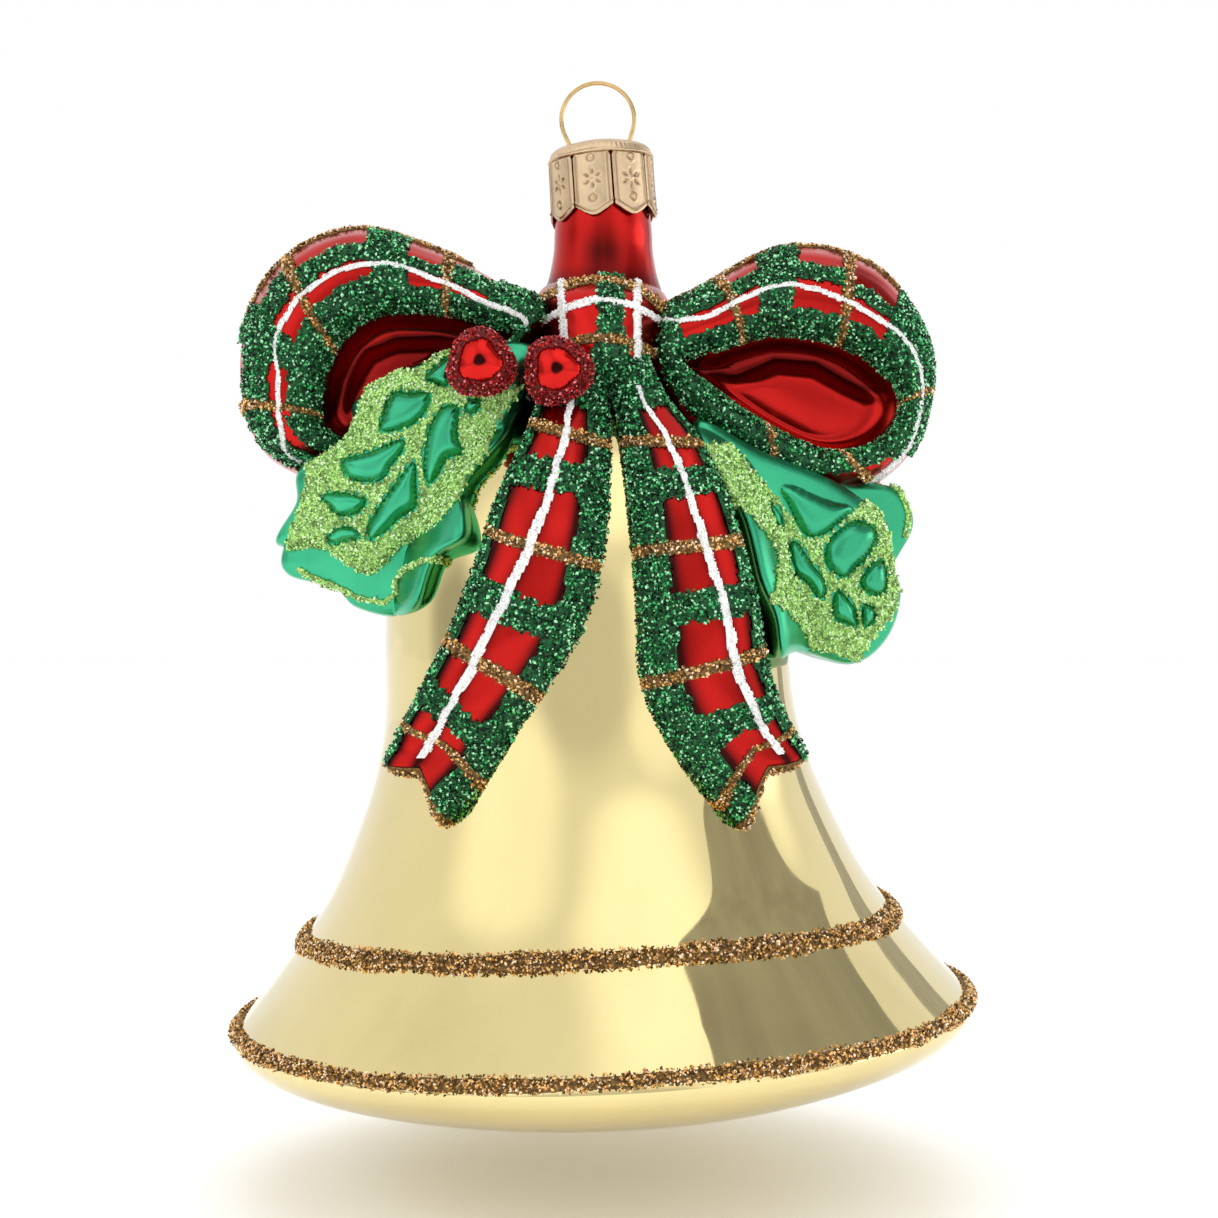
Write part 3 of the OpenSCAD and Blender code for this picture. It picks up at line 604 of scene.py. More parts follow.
# Holly: the outline of each leaf, its middle, the glittered part of its face and the bare pillows on it
LEAF_LEFT = [[-9, 90.5], [-20, 90], [-28, 87], [-33.5, 83.5], [-34, 79], [-41, 74.5], [-41.5, 70], [-44.2, 64.5],
             [-38, 64], [-31.5, 60.5], [-26.5, 64.5], [-20, 66.5], [-17, 73], [-12.5, 79]]
LEAF_LEFT_REAR = [[-30, 78], [-40, 70], [-43.6, 63.5], [-42.6, 60.2], [-36.5, 58.6], [-33.5, 55.9], [-28, 54.6],
                  [-24, 56], [-21.5, 62], [-17, 65.5], [-20, 74]]
LEAF_RIGHT = [[12.5, 81], [21, 77], [31, 73], [37.5, 68], [38.6, 63], [40.2, 57.5], [38.2, 51.5], [33.4, 48.2],
              [26, 50], [23, 49.4], [21.8, 54.5], [19.6, 59.5], [17.6, 67.5], [13.6, 74.5]]
LEAF_RIGHT_REAR = [[24, 74], [34, 73], [40, 72], [42.2, 68], [40.8, 64], [37, 60], [28, 60]]
FROST_LEFT = [[-20, 90.8], [-22.5, 89], [-25, 87.3], [-28, 87.5], [-30.6, 87.3], [-31.6, 86], [-32.7, 81.7],
              [-34.2, 78.4], [-37.7, 76], [-39.5, 75], [-40, 71], [-41.3, 67.3], [-42.5, 64.5], [-42, 62.7],
              [-37.7, 62], [-34.7, 61.5], [-31.6, 60.3], [-29, 61.7], [-26, 64.3], [-21, 65.8], [-19.3, 69],
              [-17.5, 73.4], [-15, 76.4], [-14.2, 80], [-10.7, 85], [-14, 84.4], [-17, 84]]
FROST_RIGHT = [[12.4, 77], [16.6, 77.2], [19.4, 74], [22.5, 70.8], [25.6, 67], [27, 65.5], [29.5, 65.8],
               [32.2, 68.2], [35, 70], [36.3, 70.4], [37.4, 67.5], [39.4, 64.4], [38.9, 61], [39.7, 58.3], [38.7, 55],
               [36, 51.7], [33.9, 48.7], [32.4, 49.3], [30, 50.2], [27.3, 50.4], [26.5, 52.8], [23.8, 55.5],
               [21.4, 56.8], [22.5, 59.4], [22.7, 62.7], [21.6, 65], [19, 67.7], [17, 69.3], [15.3, 72.3]]
PILLOW_CORNERS_LEFT = [
    [[-27.9, 84.2], [-25.6, 84.2], [-23, 84], [-23.3, 82], [-24.3, 80.7], [-26, 79.7], [-28.6, 79.2],
     [-29.4, 80]],
    [[-34.2, 75.6], [-31, 76.4], [-28.6, 77.4], [-26.3, 78], [-26.6, 76.4], [-28, 74.6], [-29, 73], [-31, 72.6],
     [-33.2, 73], [-34.4, 74.4]],
    [[-37.2, 70.8], [-34.2, 71], [-31.6, 70.3], [-32, 69], [-33.2, 68.3], [-35.2, 68.3], [-36.4, 69.6]],
    [[-36.7, 65.3], [-34.7, 66.5], [-32.7, 66], [-32.4, 65.3], [-34.2, 65], [-35.7, 64.5]],
    [[-22.5, 80.2], [-21.3, 82], [-20, 82.5], [-19, 82], [-19.3, 78.4], [-18.5, 76.4], [-20.5, 75.6],
     [-21.8, 73.4], [-23, 72.3], [-23.6, 74.4], [-23.3, 77.4]],
    [[-30, 68.6], [-27.6, 72], [-25, 75], [-24.7, 72.3], [-24.8, 69.3], [-27, 67.8], [-29, 66], [-31, 65],
     [-31, 66.8]],
    [[-17.7, 83], [-16.2, 83], [-16.7, 81.7], [-18, 81.7]],
    [[-23.3, 86.5], [-20.5, 88.8], [-20, 87.5], [-20.5, 85.2], [-22.5, 85.8]]]
PILLOW_CORNERS_RIGHT = [
    [[23.4, 71.7], [25, 72], [30, 70], [33, 69.3], [31.7, 67.7], [29.5, 65.8], [27.3, 65.3], [26, 66.4],
     [24.5, 69.3]],
    [[29.5, 63.8], [30.6, 65.5], [32.6, 67], [34.3, 67.3], [36, 66.4], [36.3, 65], [35.2, 63], [33.5, 61.2],
     [32, 60], [30.6, 60.5], [29.5, 61.8]],
    [[34.3, 59.6], [36, 61.8], [37.4, 61.8], [37.8, 59.8], [37.4, 58], [36, 57.7], [34.6, 58.3]],
    [[24.5, 64], [25.6, 64.5], [27.3, 62], [29, 59.8], [29.5, 58], [28.6, 57.2], [27, 59.2], [25, 60.5],
     [24.5, 62.3]],
    [[30.6, 57.2], [31.3, 58], [33.2, 56], [33.7, 54.4], [33.5, 53.5], [32, 54], [30.6, 54.8]],
    [[34.6, 56], [36, 55.7], [36, 54.4], [34.8, 53.5]],
    [[22, 69.3], [23.2, 68.6], [23.6, 66.6], [22.7, 67]]]
FROST_LEFT_REAR = [[[-41, 61], [-38.5, 59.7], [-35.5, 58.6], [-32.8, 57.2], [-29.3, 56.6], [-27.6, 57.8],
                    [-27.8, 59.4], [-26.4, 60.8], [-23.3, 62], [-20.3, 62.5]]]
FROST_RIGHT_REAR = [[[38.4, 73.2], [40.2, 71.4], [41.3, 68.6], [40.8, 65.6]]]
# A leaf thins from LEAF_NEAR to LEAF_FAR from the middle, and stands LEAF_CLEAR off the bell's wall
LEAF_NEAR, LEAF_FAR, LEAF_CLEAR = 12, 42, 2.2


def leaf_surface(outline, middle, thickness, pillows, swell=1.5):
    """A holly leaf: an upright edge and a domed face on each side, with bare pillows swelling out of it."""
    middle = np.array(middle, float)
    tops = [highest(pillow) for pillow in pillows]

    def surface(u, v):
        q = np.abs(1 - 2 * v)
        o = curve_at(outline, u, True)
        size = smooth(q, [(0, 1), (0.1, 1.0), (0.16, 0.985), (0.24, 0.94), (0.6, 0.5), (1, 0)])
        flat = middle + (o - middle) * size[:, None]
        share = smooth(q, [(0, 0), (0.06, 0.42), (0.12, 0.7), (0.17, 0.8), (0.26, 0.86), (0.5, 0.93), (1, 0.97)])
        thin = 1 - 0.26 * np.clip((np.abs(flat[:, 0]) - LEAF_NEAR) / (LEAF_FAR - LEAF_NEAR), 0, 1)
        depth = thickness * thin * share
        clear = np.interp(flat[:, 1], wall_h, wall_r) + LEAF_CLEAR
        over = np.sqrt(np.maximum(0, clear ** 2 - flat[:, 0] ** 2))
        depth = np.maximum(depth, over * smooth(q, [(0, 0), (0.05, 0.6), (0.1, 0.93), (0.15, 1), (1, 1)]))
        for pillow, top in zip(pillows, tops):
            rise = np.clip(puff(flat[:, 0], flat[:, 1], pillow) / top, 0, 1)
            depth = depth + swell * np.sin(rise * math.pi / 2) * step(q, 0.2, 0.3)
        side = np.where(v < 0.5, FRONT, BACK)
        return np.stack([flat[:, 0], side * depth, flat[:, 1]], 1)
    return surface


round_turn = np.linspace(0, 1, 40, endpoint=False)
PILLOWS_LEFT, PILLOWS_RIGHT = ([curve_at(corners, round_turn, True) for corners in leaf]
                               for leaf in (PILLOW_CORNERS_LEFT, PILLOW_CORNERS_RIGHT))
wall_h, wall_r = bell_line[WALL_STEPS::-1, 1], bell_line[WALL_STEPS::-1, 0]


def puff(x, h, pillow):
    """How high a pillow swells at flat places, 0 on its outline and outside it."""
    gaps = np.hypot(x[:, None] - pillow[:, 0], h[:, None] - pillow[:, 1])
    return np.where(inside_by(x, h, pillow) > 0, (np.maximum(gaps, 0.01) ** -4.0).mean(1) ** -0.25, 0)


def highest(pillow):
    """The most that puff() gives for a pillow."""
    x, h = (g.ravel() for g in np.meshgrid(*np.linspace(pillow.min(0), pillow.max(0), 15).T))
    return puff(x, h, pillow).max()


# Each berry's middle on the front, and the turn of its three soft sides
BERRIES = {"left": ([-15.8, 20.5, 87.6], 0.4), "right": ([-5.9, 20.5, 86.6], 1.6)}
BERRY_ROOT = 9.5


def berry_surface(place, face, radius, phase):
    """A berry: a slightly three-sided bubble on a short stalk, v from its front to its root."""
    def surface(u, v):
        turn = 2 * np.pi * u
        tilt = np.pi * np.minimum(v / 0.75, 1) * 0.72
        r = radius * np.sin(tilt) * (1 + 0.07 * np.cos(3 * turn + phase))
        y = radius * np.cos(tilt)
        root = np.clip((v - 0.75) / 0.25, 0, 1)
        y = y - root * (place[1] - BERRY_ROOT - radius * 0.6)
        r = r * np.where(v > 0.985, 0, 1)
        return np.stack([place[0] + r * np.sin(turn), face * (place[1] + y), place[2] + r * np.cos(turn)], 1)
    return surface


# ---- The tartan ----

def line_across(u, w, ends, half, seed):
    """True within half of a hand-laid line across a band, from ends[0] at w 0 to ends[1] at w 1."""
    place = ends[0] + (ends[1] - ends[0]) * w
    return np.abs(u - place + 0.25 * half * wobble(w * 2, u, seed)) < half * (1 + 0.25 * wobble(w * 3, u, seed + 5))


def in_blocks(u, w, blocks, seed):
    """True inside any (u0, u1, w0, w1) block, with uneven edges."""
    u = u + 0.003 * wobble(w * 0.9, u * 3, seed)
    w = w + 0.022 * wobble(u * 2.2, w * 0.5, seed + 3)
    hit = np.zeros(len(u), bool)
    for u0, u1, w0, w1 in blocks:
        hit |= (u > u0) & (u < u1) & (w > w0) & (w < w1)
    return hit


# Each plan: blocks of green, the ends and half width of each gold line, the gold edge and the white line's run
LOOP_RIGHT_PLAN = {
    "green": [(0, 0.036, 0.03, 1.02), (0.036, 0.11, 0.06, 0.44), (0.036, 0.17, 0.75, 1.02),
              (0.11, 0.165, 0.27, 0.44), (0.162, 0.21, 0.05, 1.02), (0.2, 0.268, 0.3, 0.46),
              (0.268, 0.35, 0.4, 0.54), (0.2, 0.35, 0.76, 1.02),
              (0.345, 0.59, 0.05, 1.02), (0.58, 0.61, 0.3, 1.02), (0.6, 0.72, 0.52, 1.02), (0.72, 0.8, 0.42, 1.02),
              (0.8, 1, 0.3, 1.02)],
    "gold": [(0.115, 0.133), (0.265, 0.288), (0.505, 0.47), (0.645, 0.672), (0.74, 0.8)],
    "gold_edge": (0.03, 0.5), "gold_half": 0.0064,
    "white": [(0, 0.15), (0.039, 0.47), (0.076, 0.56), (0.143, 0.54), (0.193, 0.52), (0.242, 0.57), (0.3, 0.63),
              (0.32, 0.63), (0.355, 0.57), (0.421, 0.56), (0.475, 0.55), (0.519, 0.5), (0.56, 0.38), (0.616, 0.24),
              (0.665, 0.14), (0.72, 0.06)], "white_span": (0, 0.72)}
LOOP_LEFT_PLAN = {
    "green": [(0, 0.1, 0.05, 1.02), (0.1, 0.17, 0.24, 0.55), (0.1, 0.235, 0.72, 1.02), (0.17, 0.235, 0.37, 0.52),
              (0.234, 0.285, 0.06, 1.02), (0.28, 0.4, 0.28, 0.46), (0.28, 0.47, 0.66, 1.02), (0.4, 0.475, 0.18, 0.4),
              (0.468, 0.522, 0.04, 1.02), (0.52, 0.61, 0.15, 0.47), (0.52, 1, 0.69, 1.02), (0.61, 0.8, 0.12, 0.45),
              (0.61, 1, 0.62, 1.02)],
    "gold": [(0.178, 0.172), (0.396, 0.416), (0.606, 0.58)], "gold_edge": (0.15, 0.5), "gold_half": 0.0078,
    "white": [(0, 0.72), (0.114, 0.68), (0.156, 0.63), (0.184, 0.6), (0.217, 0.55), (0.245, 0.52), (0.34, 0.52),
              (0.431, 0.49), (0.469, 0.47), (0.496, 0.5), (0.531, 0.58), (0.583, 0.6), (0.646, 0.5), (0.709, 0.27)],
    "white_span": (0, 0.73)}


def loop_masks(plan, outer, inner, line, seed):
    """Where each colour of glitter lies on a loop."""
    def wide(u):
        return np.linalg.norm(curve_at(outer, u, True) - curve_at(inner, u, True), axis=-1) * 1.25

    def white(u, v):
        w = across_loop(v)
        centre = np.interp(u, *zip(*plan["white"])) + 0.012 * wobble(u * 1.2, 0, seed)
        return ((np.abs(w - centre) < 0.33 * line / wide(u) * (1 + 0.25 * wobble(u * 3, w, seed + 1)))
                & (u > plan["white_span"][0]) & (u < plan["white_span"][1]))

    def gold(u, v):
        w = across_loop(v)
        hit = np.zeros(len(u), bool)
        for number, ends in enumerate(plan["gold"]):
            hit |= line_across(u, w, ends, plan["gold_half"], seed + number) & (w < 1.003)
        low, high = plan["gold_edge"]
        hit |= (w < 0.05 + 0.012 * wobble(u * 2, 0, seed)) & (u > low) & (u < high)
        return hit & ~white(u, v)

    def green(u, v):
        w = across_loop(v)
        end = 0.995 + 0.006 * wobble(u * 1.6, 0, seed + 2)
        return in_blocks(u, w, plan["green"], seed) & (w < end) & ~white(u, v) & ~gold(u, v)
    return {"green": green, "gold": gold, "white": white}


def knot_masks(surface, line):
    """Where each colour of glitter lies on the knot, by its place in the front view."""
    arcs = [[(-9.4, 97.5), (-6, 98.4), (-3.6, 99.5), (-1.6, 99.8), (1.2, 99.6), (4.8, 98.6), (8.4, 96)],
            [(-7, 90.4), (-3.4, 91), (-1.4, 91.4), (2.4, 91.2), (7, 90)]]
    crossing = [(-9.6, 94.2), (-5.8, 95.3), (-1, 96.7), (3.6, 96), (7.8, 94.6), (9.4, 94)]
    uprights = [[(-5.6, 100), (-5.4, 96), (-5, 92), (-4.8, 88)], [(4.6, 100), (4.4, 94), (4.5, 88), (4.9, 82)]]

    def placed(u, v):
        p = surface(u, v)
        return p[:, 0], p[:, 2]

    def white(u, v):
        x, h = placed(u, v)
        half = line * 0.36 * (1 + 0.2 * wobble(h * 0.03, x * 0.02, 2))
        return np.min([away_from(x, h, run) for run in [crossing] + uprights], 0) < half

    def gold(u, v):
        x, h = placed(u, v)
        half = line * 0.5 * (1 + 0.2 * wobble(x * 0.03, h * 0.02, 4))
        return (np.min([away_from(x, h, arc) for arc in arcs], 0) < half) & ~white(u, v)

    def green(u, v):
        x, h = placed(u, v)
        wide = smooth(h, [(80, 3.6), (86, 3.4), (92, 1.9), (101, 1.8)])
        return (np.abs(x - 1.0 + 0.3 * wobble(h * 0.05, 0, 3)) < wide) & ~white(u, v) & ~gold(u, v)
    return {"green": green, "gold": gold, "white": white}


# The same for a tail, with the sides of its green stripes and each green cross band as its four corners
TAIL_LEFT_PLAN = {
    "sides": [(0, 0.15), (0.76, 1)], "gold": [(0.19, 0.205), (0.396, 0.455), (0.604, 0.715), (0.8, 0.895)],
    "green": [(0.252, 0.26, 0.3, 0.314), (0.47, 0.56, 0.53, 0.62), (0.67, 0.81, 0.725, 0.86)],
    "white": [(0, 0.56), (0.115, 0.55), (0.193, 0.52), (0.3, 0.52), (0.411, 0.47), (0.489, 0.42), (0.561, 0.38),
              (0.644, 0.39), (0.724, 0.43), (0.825, 0.46), (1, 0.47)]}
TAIL_RIGHT_PLAN = {
    "sides": [(0, 0.25), (0.83, 1)], "gold": [(0.195, 0.25), (0.424, 0.444), (0.675, 0.645), (0.93, 0.852)],
    "green": [(0.262, 0.3, 0.336, 0.348), (0.511, 0.516, 0.569, 0.576), (0.755, 0.725, 0.845, 0.78)],
    "white": [(0, 0.37), (0.11, 0.39), (0.193, 0.48), (0.268, 0.51), (0.353, 0.52), (0.426, 0.55), (0.506, 0.6),
              (0.612, 0.64), (0.694, 0.66), (1, 0.67)]}
TAIL_START, TAIL_WHITE_END, TAIL_EDGE = 0.13, 0.93, 0.972


def tail_masks(plan, line, seed):
    """Where each colour of glitter lies on the outer side of a tail."""
    def split(u):
        return across_tail(u), np.sin(2 * np.pi * u) > -0.3

    def white(u, v):
        c, outer = split(u)
        centre = np.interp(v, *zip(*plan["white"])) + 0.01 * wobble(v * 0.9, 0, seed)
        near = np.abs(c - centre) < 0.03 * line * (1 + 0.25 * wobble(v * 1.4, c, seed))
        return outer & near & (v < TAIL_WHITE_END) & (v > 0.08)

    def gold(u, v):
        c, outer = split(u)
        hit = v > TAIL_EDGE
        for number, ends in enumerate(plan["gold"]):
            hit = hit | line_across(v, c, ends, 0.0115, seed + number)
        return outer & hit & ~white(u, v)

    def green(u, v):
        c, outer = split(u)
        c = c + 0.02 * wobble(v * 0.8, 0, seed + 2)
        s = v + 0.006 * wobble(c * 0.7, v, seed + 4)
        hit = s < TAIL_START
        for low, high in plan["sides"]:
            hit = hit | ((c > low) & (c < high)) | ((c <= 0) & (low == 0)) | ((c >= 1) & (high == 1))
        for top_left, top_right, low_left, low_right in plan["green"]:
            below = s > top_left + (top_right - top_left) * c
            hit = hit | (below & (s < low_left + (low_right - low_left) * c))
        return outer & hit & ~white(u, v) & ~gold(u, v)
    return {"green": green, "gold": gold, "white": white}


def frost_mask(surface, region, pillows):
    """Where lime glitter lies on a leaf: over its face, but not on its pillows."""
    def mask(u, v):
        p = surface(u, v)
        x, h = p[:, 0], p[:, 2]
        edge = 0.35 * wobble(x * 0.05, h * 0.04, 3, 0.6)
        hit = (inside_by(x, h, region) > edge) & (np.abs(1 - 2 * v) > 0.13)
        for pillow in pillows:
            hit &= inside_by(x, h, pillow) < edge - 0.35
        return hit
    return mask


def vein_mask(surface, lines, half):
    """Where a thin line of lime glitter lies on a leaf."""
    def mask(u, v):
        p = surface(u, v)
        near = np.min([away_from(p[:, 0], p[:, 2], line) for line in lines], 0)
        return (near < half * (1 + 0.3 * wobble(p[:, 0] * 0.06, p[:, 2] * 0.05, 6))) & (np.abs(1 - 2 * v) > 0.15)
    return mask


# ---- What a user can change ----

def length(name, description, default, low, high):
    """A size in metres that a user can change."""
    return FloatProperty(name=name, description=description, default=default, min=low, max=high, unit="LENGTH",
                         precision=5)


def colour(name, description, default):
    """A colour that a user can change."""
    return FloatVectorProperty(name=name, description=description, default=default, size=3, min=0, max=1,
                               subtype="COLOR")


class OrnamentSizes(bpy.types.PropertyGroup):
    """Sizes of the ornament."""
    wire: length("Wire", "Thickness of the hanger wire", 0.0006, 0.0004, 0.001)
    ring: length("Ring radius", "Radius of the hanger ring, to the middle of the wire", 0.0051, 0.004, 0.006)
    crown_width: length("Crown width", "Outer diameter of the stamped crown", 0.0144, 0.0142, 0.016)
    crown_height: length("Crown height", "From the crown's top to the tips of its petals", 0.0106, 0.009, 0.012)
    sheet: length("Crown sheet", "Thickness of the crown's sheet metal", 0.0003, 0.0002, 0.0005)
    petals: IntProperty(name="Petals", description="Number of petals of the crown", default=8, min=6, max=12)
    loops: length("Loop half thickness", "Half of the bow loops' thickness", 0.013, 0.01, 0.015)
    knot: length("Knot half thickness", "Half of the knot's thickness", 0.017, 0.015, 0.019)
    tails: length("Tail half thickness", "Half of the ribbon tails' thickness", 0.0046, 0.003, 0.006)
    leaves: length("Leaf half thickness", "Half of the holly leaves' thickness", 0.019, 0.015, 0.021)
    berry: length("Berry radius", "Radius of a berry", 0.004, 0.003, 0.005)
    grain: length("Grain size", "Size of a grain of glitter", 0.00046, 0.0003, 0.0008)
    glue: length("Glue", "Thickness of the glue under the grains", 0.0003, 0.0001, 0.0006)
    line: length("Line width", "Width of a gold or white glitter line", 0.0012, 0.0008, 0.002)
    cover: FloatProperty(name="Cover", description="Grains on each square millimetre", default=11.0, min=2, max=16)


class OrnamentColours(bpy.types.PropertyGroup):
    """Colours of the ornament."""
    gold: colour("Mirror gold", "Silvering under yellow lacquer", (0.76, 0.635, 0.3))
    red: colour("Red lacquer", "The bow and the neck", (0.6, 0.012, 0.009))
    # Painted shade and painted dark reflections of the red lacquer, in its recesses, creases, edges and streaks
    red_deep: colour("Deep red", "Red lacquer where it pools", (0.035, 0.001, 0.001))
    green: colour("Green lacquer", "The holly", (0.05, 0.47, 0.24))
    # Painted shade of the green lacquer, on the leaves' edge walls
    green_painted_shade: colour("Deep green", "Green lacquer where it pools", (0.008, 0.13, 0.05))
    crown: colour("Crown metal", "Pale gilt sheet metal", (0.69, 0.52, 0.33))
    wire: colour("Wire", "Brass wire", (0.72, 0.5, 0.22))
    green_glitter: colour("Green glitter", "Stripes of the tartan", (0.03, 0.25, 0.075))
    gold_glitter: colour("Gold glitter", "Lines of the tartan and bands of the bell", (0.56, 0.31, 0.085))
    white_glitter: colour("White glitter", "Fine lines of the tartan", (0.93, 0.93, 0.91))
    lime_glitter: colour("Lime glitter", "Frosting of the holly", (0.48, 0.8, 0.24))
    red_glitter: colour("Red glitter", "Rings round the berries", (0.42, 0.012, 0.012))


def millimetres(name):
    """A size from the panel, in millimetres."""
    return getattr(bpy.context.scene.ornament_sizes, name) / MM


def grains_per_mm2():
    """Grains on each square millimetre."""
    return bpy.context.scene.ornament_sizes.cover


def tone(name):
    """A colour from the panel."""
    return tuple(getattr(bpy.context.scene.ornament_colours, name))


def shapes():
    """Every blown shape that carries glitter, at the panel's sizes."""
    loops, tails, leaves, berry = (millimetres(n) for n in ("loops", "tails", "leaves", "berry"))
    made = {
        "bow_loop_left": loop_surface(LOOP_LEFT_OUTER, LOOP_LEFT_INNER, CREASE_LEFT,
                                      [1, 1, 1, 1, 1, 1, 1, 0.85, 0.5, 0.6], loops),
        "bow_loop_right": loop_surface(LOOP_RIGHT_OUTER, LOOP_RIGHT_INNER, CREASE_RIGHT, [1] * 10, loops),
        "bow_knot": knot_surface(millimetres("knot")),
        "leaf_left": leaf_surface(LEAF_LEFT, (-25, 76), leaves, PILLOWS_LEFT),
        "leaf_left_rear": leaf_surface(LEAF_LEFT_REAR, (-30, 65), leaves - 3, []),
        "leaf_right": leaf_surface(LEAF_RIGHT, (27, 64), leaves, PILLOWS_RIGHT),
        "leaf_right_rear": leaf_surface(LEAF_RIGHT_REAR, (33, 67), leaves - 4, []),
    }
    for face, side in ((FRONT, "front"), (BACK, "back")):
        made["tail_left_" + side] = tail_surface(TAIL_LEFT, face, tails)
        made["tail_right_" + side] = tail_surface(TAIL_RIGHT, face, tails)
        for hand, (place, phase) in BERRIES.items():
            made[f"berry_{hand}_{side}"] = berry_surface(place, face, berry, phase)
    return made


# How finely each skin is divided, round it and along it
LOOP_GRID, KNOT_GRID, TAIL_GRID, LEAF_GRID = (360, 150), (140, 120), (96, 260), (260, 170)
TAIL_LINE_GRID, BERRY_GRID, BERRY_RING_GRID = (220, 520), (64, 60), (96, 60)
GRAIN_LIFT = 0.12

# For each colour of glitter: its slot, its recipe of lit and shaded copies (a shade factor for painted shade and a
# share of white for painted glint), metallic, roughness and relative grain size
GLITTER = {
    "green": ("green_glitter", ((0.05, 0), (0.5, 0), (1.9, 0.0), (3.2, 0.36)), 0.5, 0.28, 1.1),
    "gold": ("gold_glitter", ((0.2, 0), (0.9, 0), (1.7, 0.06), (1.9, 0.45)), 0.6, 0.28, 1.05),
    "white": ("white_glitter", ((0.62, 0), (0.85, 0), (1.0, 0.2), (1.05, 0.6)), 0.0, 0.6, 0.6),
    "lime": ("lime_glitter", ((0.4, 0), (1.0, 0), (1.35, 0.08), (1.3, 0.5)), 0.4, 0.3, 1.0),
    "red": ("red_glitter", ((0.3, 0), (0.8, 0), (1.4, 0.0), (1.8, 0.22)), 0.5, 0.3, 1.0),
}
# How often a grain gets each copy, from painted shade to painted glint
SHADE_ODDS = (0.3, 0.32, 0.2, 0.18)
# Factors for each glue bed's colour from its glitter's colour; the dark factor paints the shade in the gaps between
# grains
GLUE_SHADE, GLUE_GAP_SHADE = {"white": 0.9, "lime": 0.85}, 0.4


def materials_of(kind):
    """The glue and the grain finishes of one colour of glitter, made once."""
    slot, recipe, metallic, roughness, scale = GLITTER[kind]
    bed = bpy.data.materials.get(slot + "_glue")
    bed = bed or glue(slot + "_glue", shade(tone(slot), GLUE_SHADE.get(kind, GLUE_GAP_SHADE)))
    tints = [m for m in bpy.data.materials if m.name.startswith(slot + "_grain")]
    tints = tints or grain_tints(slot + "_grain", tone(slot), recipe, metallic, roughness)
    return slot, bed, sorted(tints, key=lambda m: m.name), scale


def glitter(name, kind, surface, mask, grid, seed, nodes=()):
    """Glue and grains over the part of a surface where mask(u, v) is true."""
    slot, bed, tints, scale = materials_of(kind)
    rng = np.random.default_rng(seed)
    base = blow(name + "_glue", surface, *grid, keep=mask, thick=millimetres("glue"))
    settle(base, "glass", slot, bed, *nodes)
    spots, normals = spots_on(surface, mask, grains_per_mm2() / scale ** 1.2, rng)
    size = millimetres("grain") * scale
    grains = sprinkle(name + "_grains", spots + normals * GRAIN_LIFT, normals, size, tints, rng)
    settle(grains, "glass", slot, None)




# ---- Operators ----

class ORNAMENT_OT_hanger(bpy.types.Operator):
    """The ring of brass wire, with two legs that spring apart inside the neck."""
    bl_idname = "ornament.hanger"
    bl_label = "Hanger"

    def execute(self, context):
        wire, ring = millimetres("wire"), millimetres("ring")
        ring_z, hole_x, hole_z, leg_end = wire / 2 - ring, 3.9, -8.95, -22.9
        reach = math.hypot(hole_x, hole_z - ring_z)
        leave = math.acos(ring / reach) - math.atan2(ring_z - hole_z, hole_x)
        turn = np.linspace(leave, math.pi - leave, 120)
        arc = np.stack([ring * np.cos(turn), ring_z + ring * np.sin(turn)], 1)
        way = np.array([hole_x, hole_z]) - arc[0]
        bend = np.array([hole_x, hole_z]) + 2.1 * way / np.linalg.norm(way)
        leg = curve_at([[hole_x, leg_end], [hole_x, leg_end * 0.8], bend - [0, 0.6], bend + [0.1, 0.4]],
                       np.linspace(0, 1, 40))
        legs = np.concatenate([leg, np.linspace(leg[-1], arc[0], 12)[1:-1]])
        path = even(np.concatenate([legs, arc, (legs * [-1, 1])[::-1]]))

        def surface(u, v):
            middle = path(v)
            way = path(np.minimum(v + 0.004, 1)) - path(np.maximum(v - 0.004, 0))
            way /= np.linalg.norm(way, axis=1)[:, None]
            r = wire / 2 * np.sqrt(np.clip(1 - np.clip((np.abs(v - 0.5) - 0.494) / 0.006, 0, 1) ** 2, 0, 1))
            a, b = r * np.cos(2 * np.pi * u), r * np.sin(2 * np.pi * u)
            return np.stack([middle[:, 0] - way[:, 1] * a, b, middle[:, 1] + way[:, 0] * a], 1)

        brass = tone("wire")
        finish = Finish("brass_wire", brass, metallic=1.0, roughness=0.24)
        drawn = finish.noise(420, 5, 0.7)
        finish.feed("Base Color", finish.ramp(drawn, (0.3, shade(brass, 0.7)), (0.7, shade(brass, 1.15))))
        finish.feed("Roughness", finish.between(drawn, 0.16, 0.38))
        finish.bump(drawn, 0.15, 0.05)
        piece = blow("hanger_brass_wire", surface, 20, 420, place=crown_place)
        settle(piece, "hanger", "hanger_brass", finish.material, "hanger_wire")
        return {"FINISHED"}


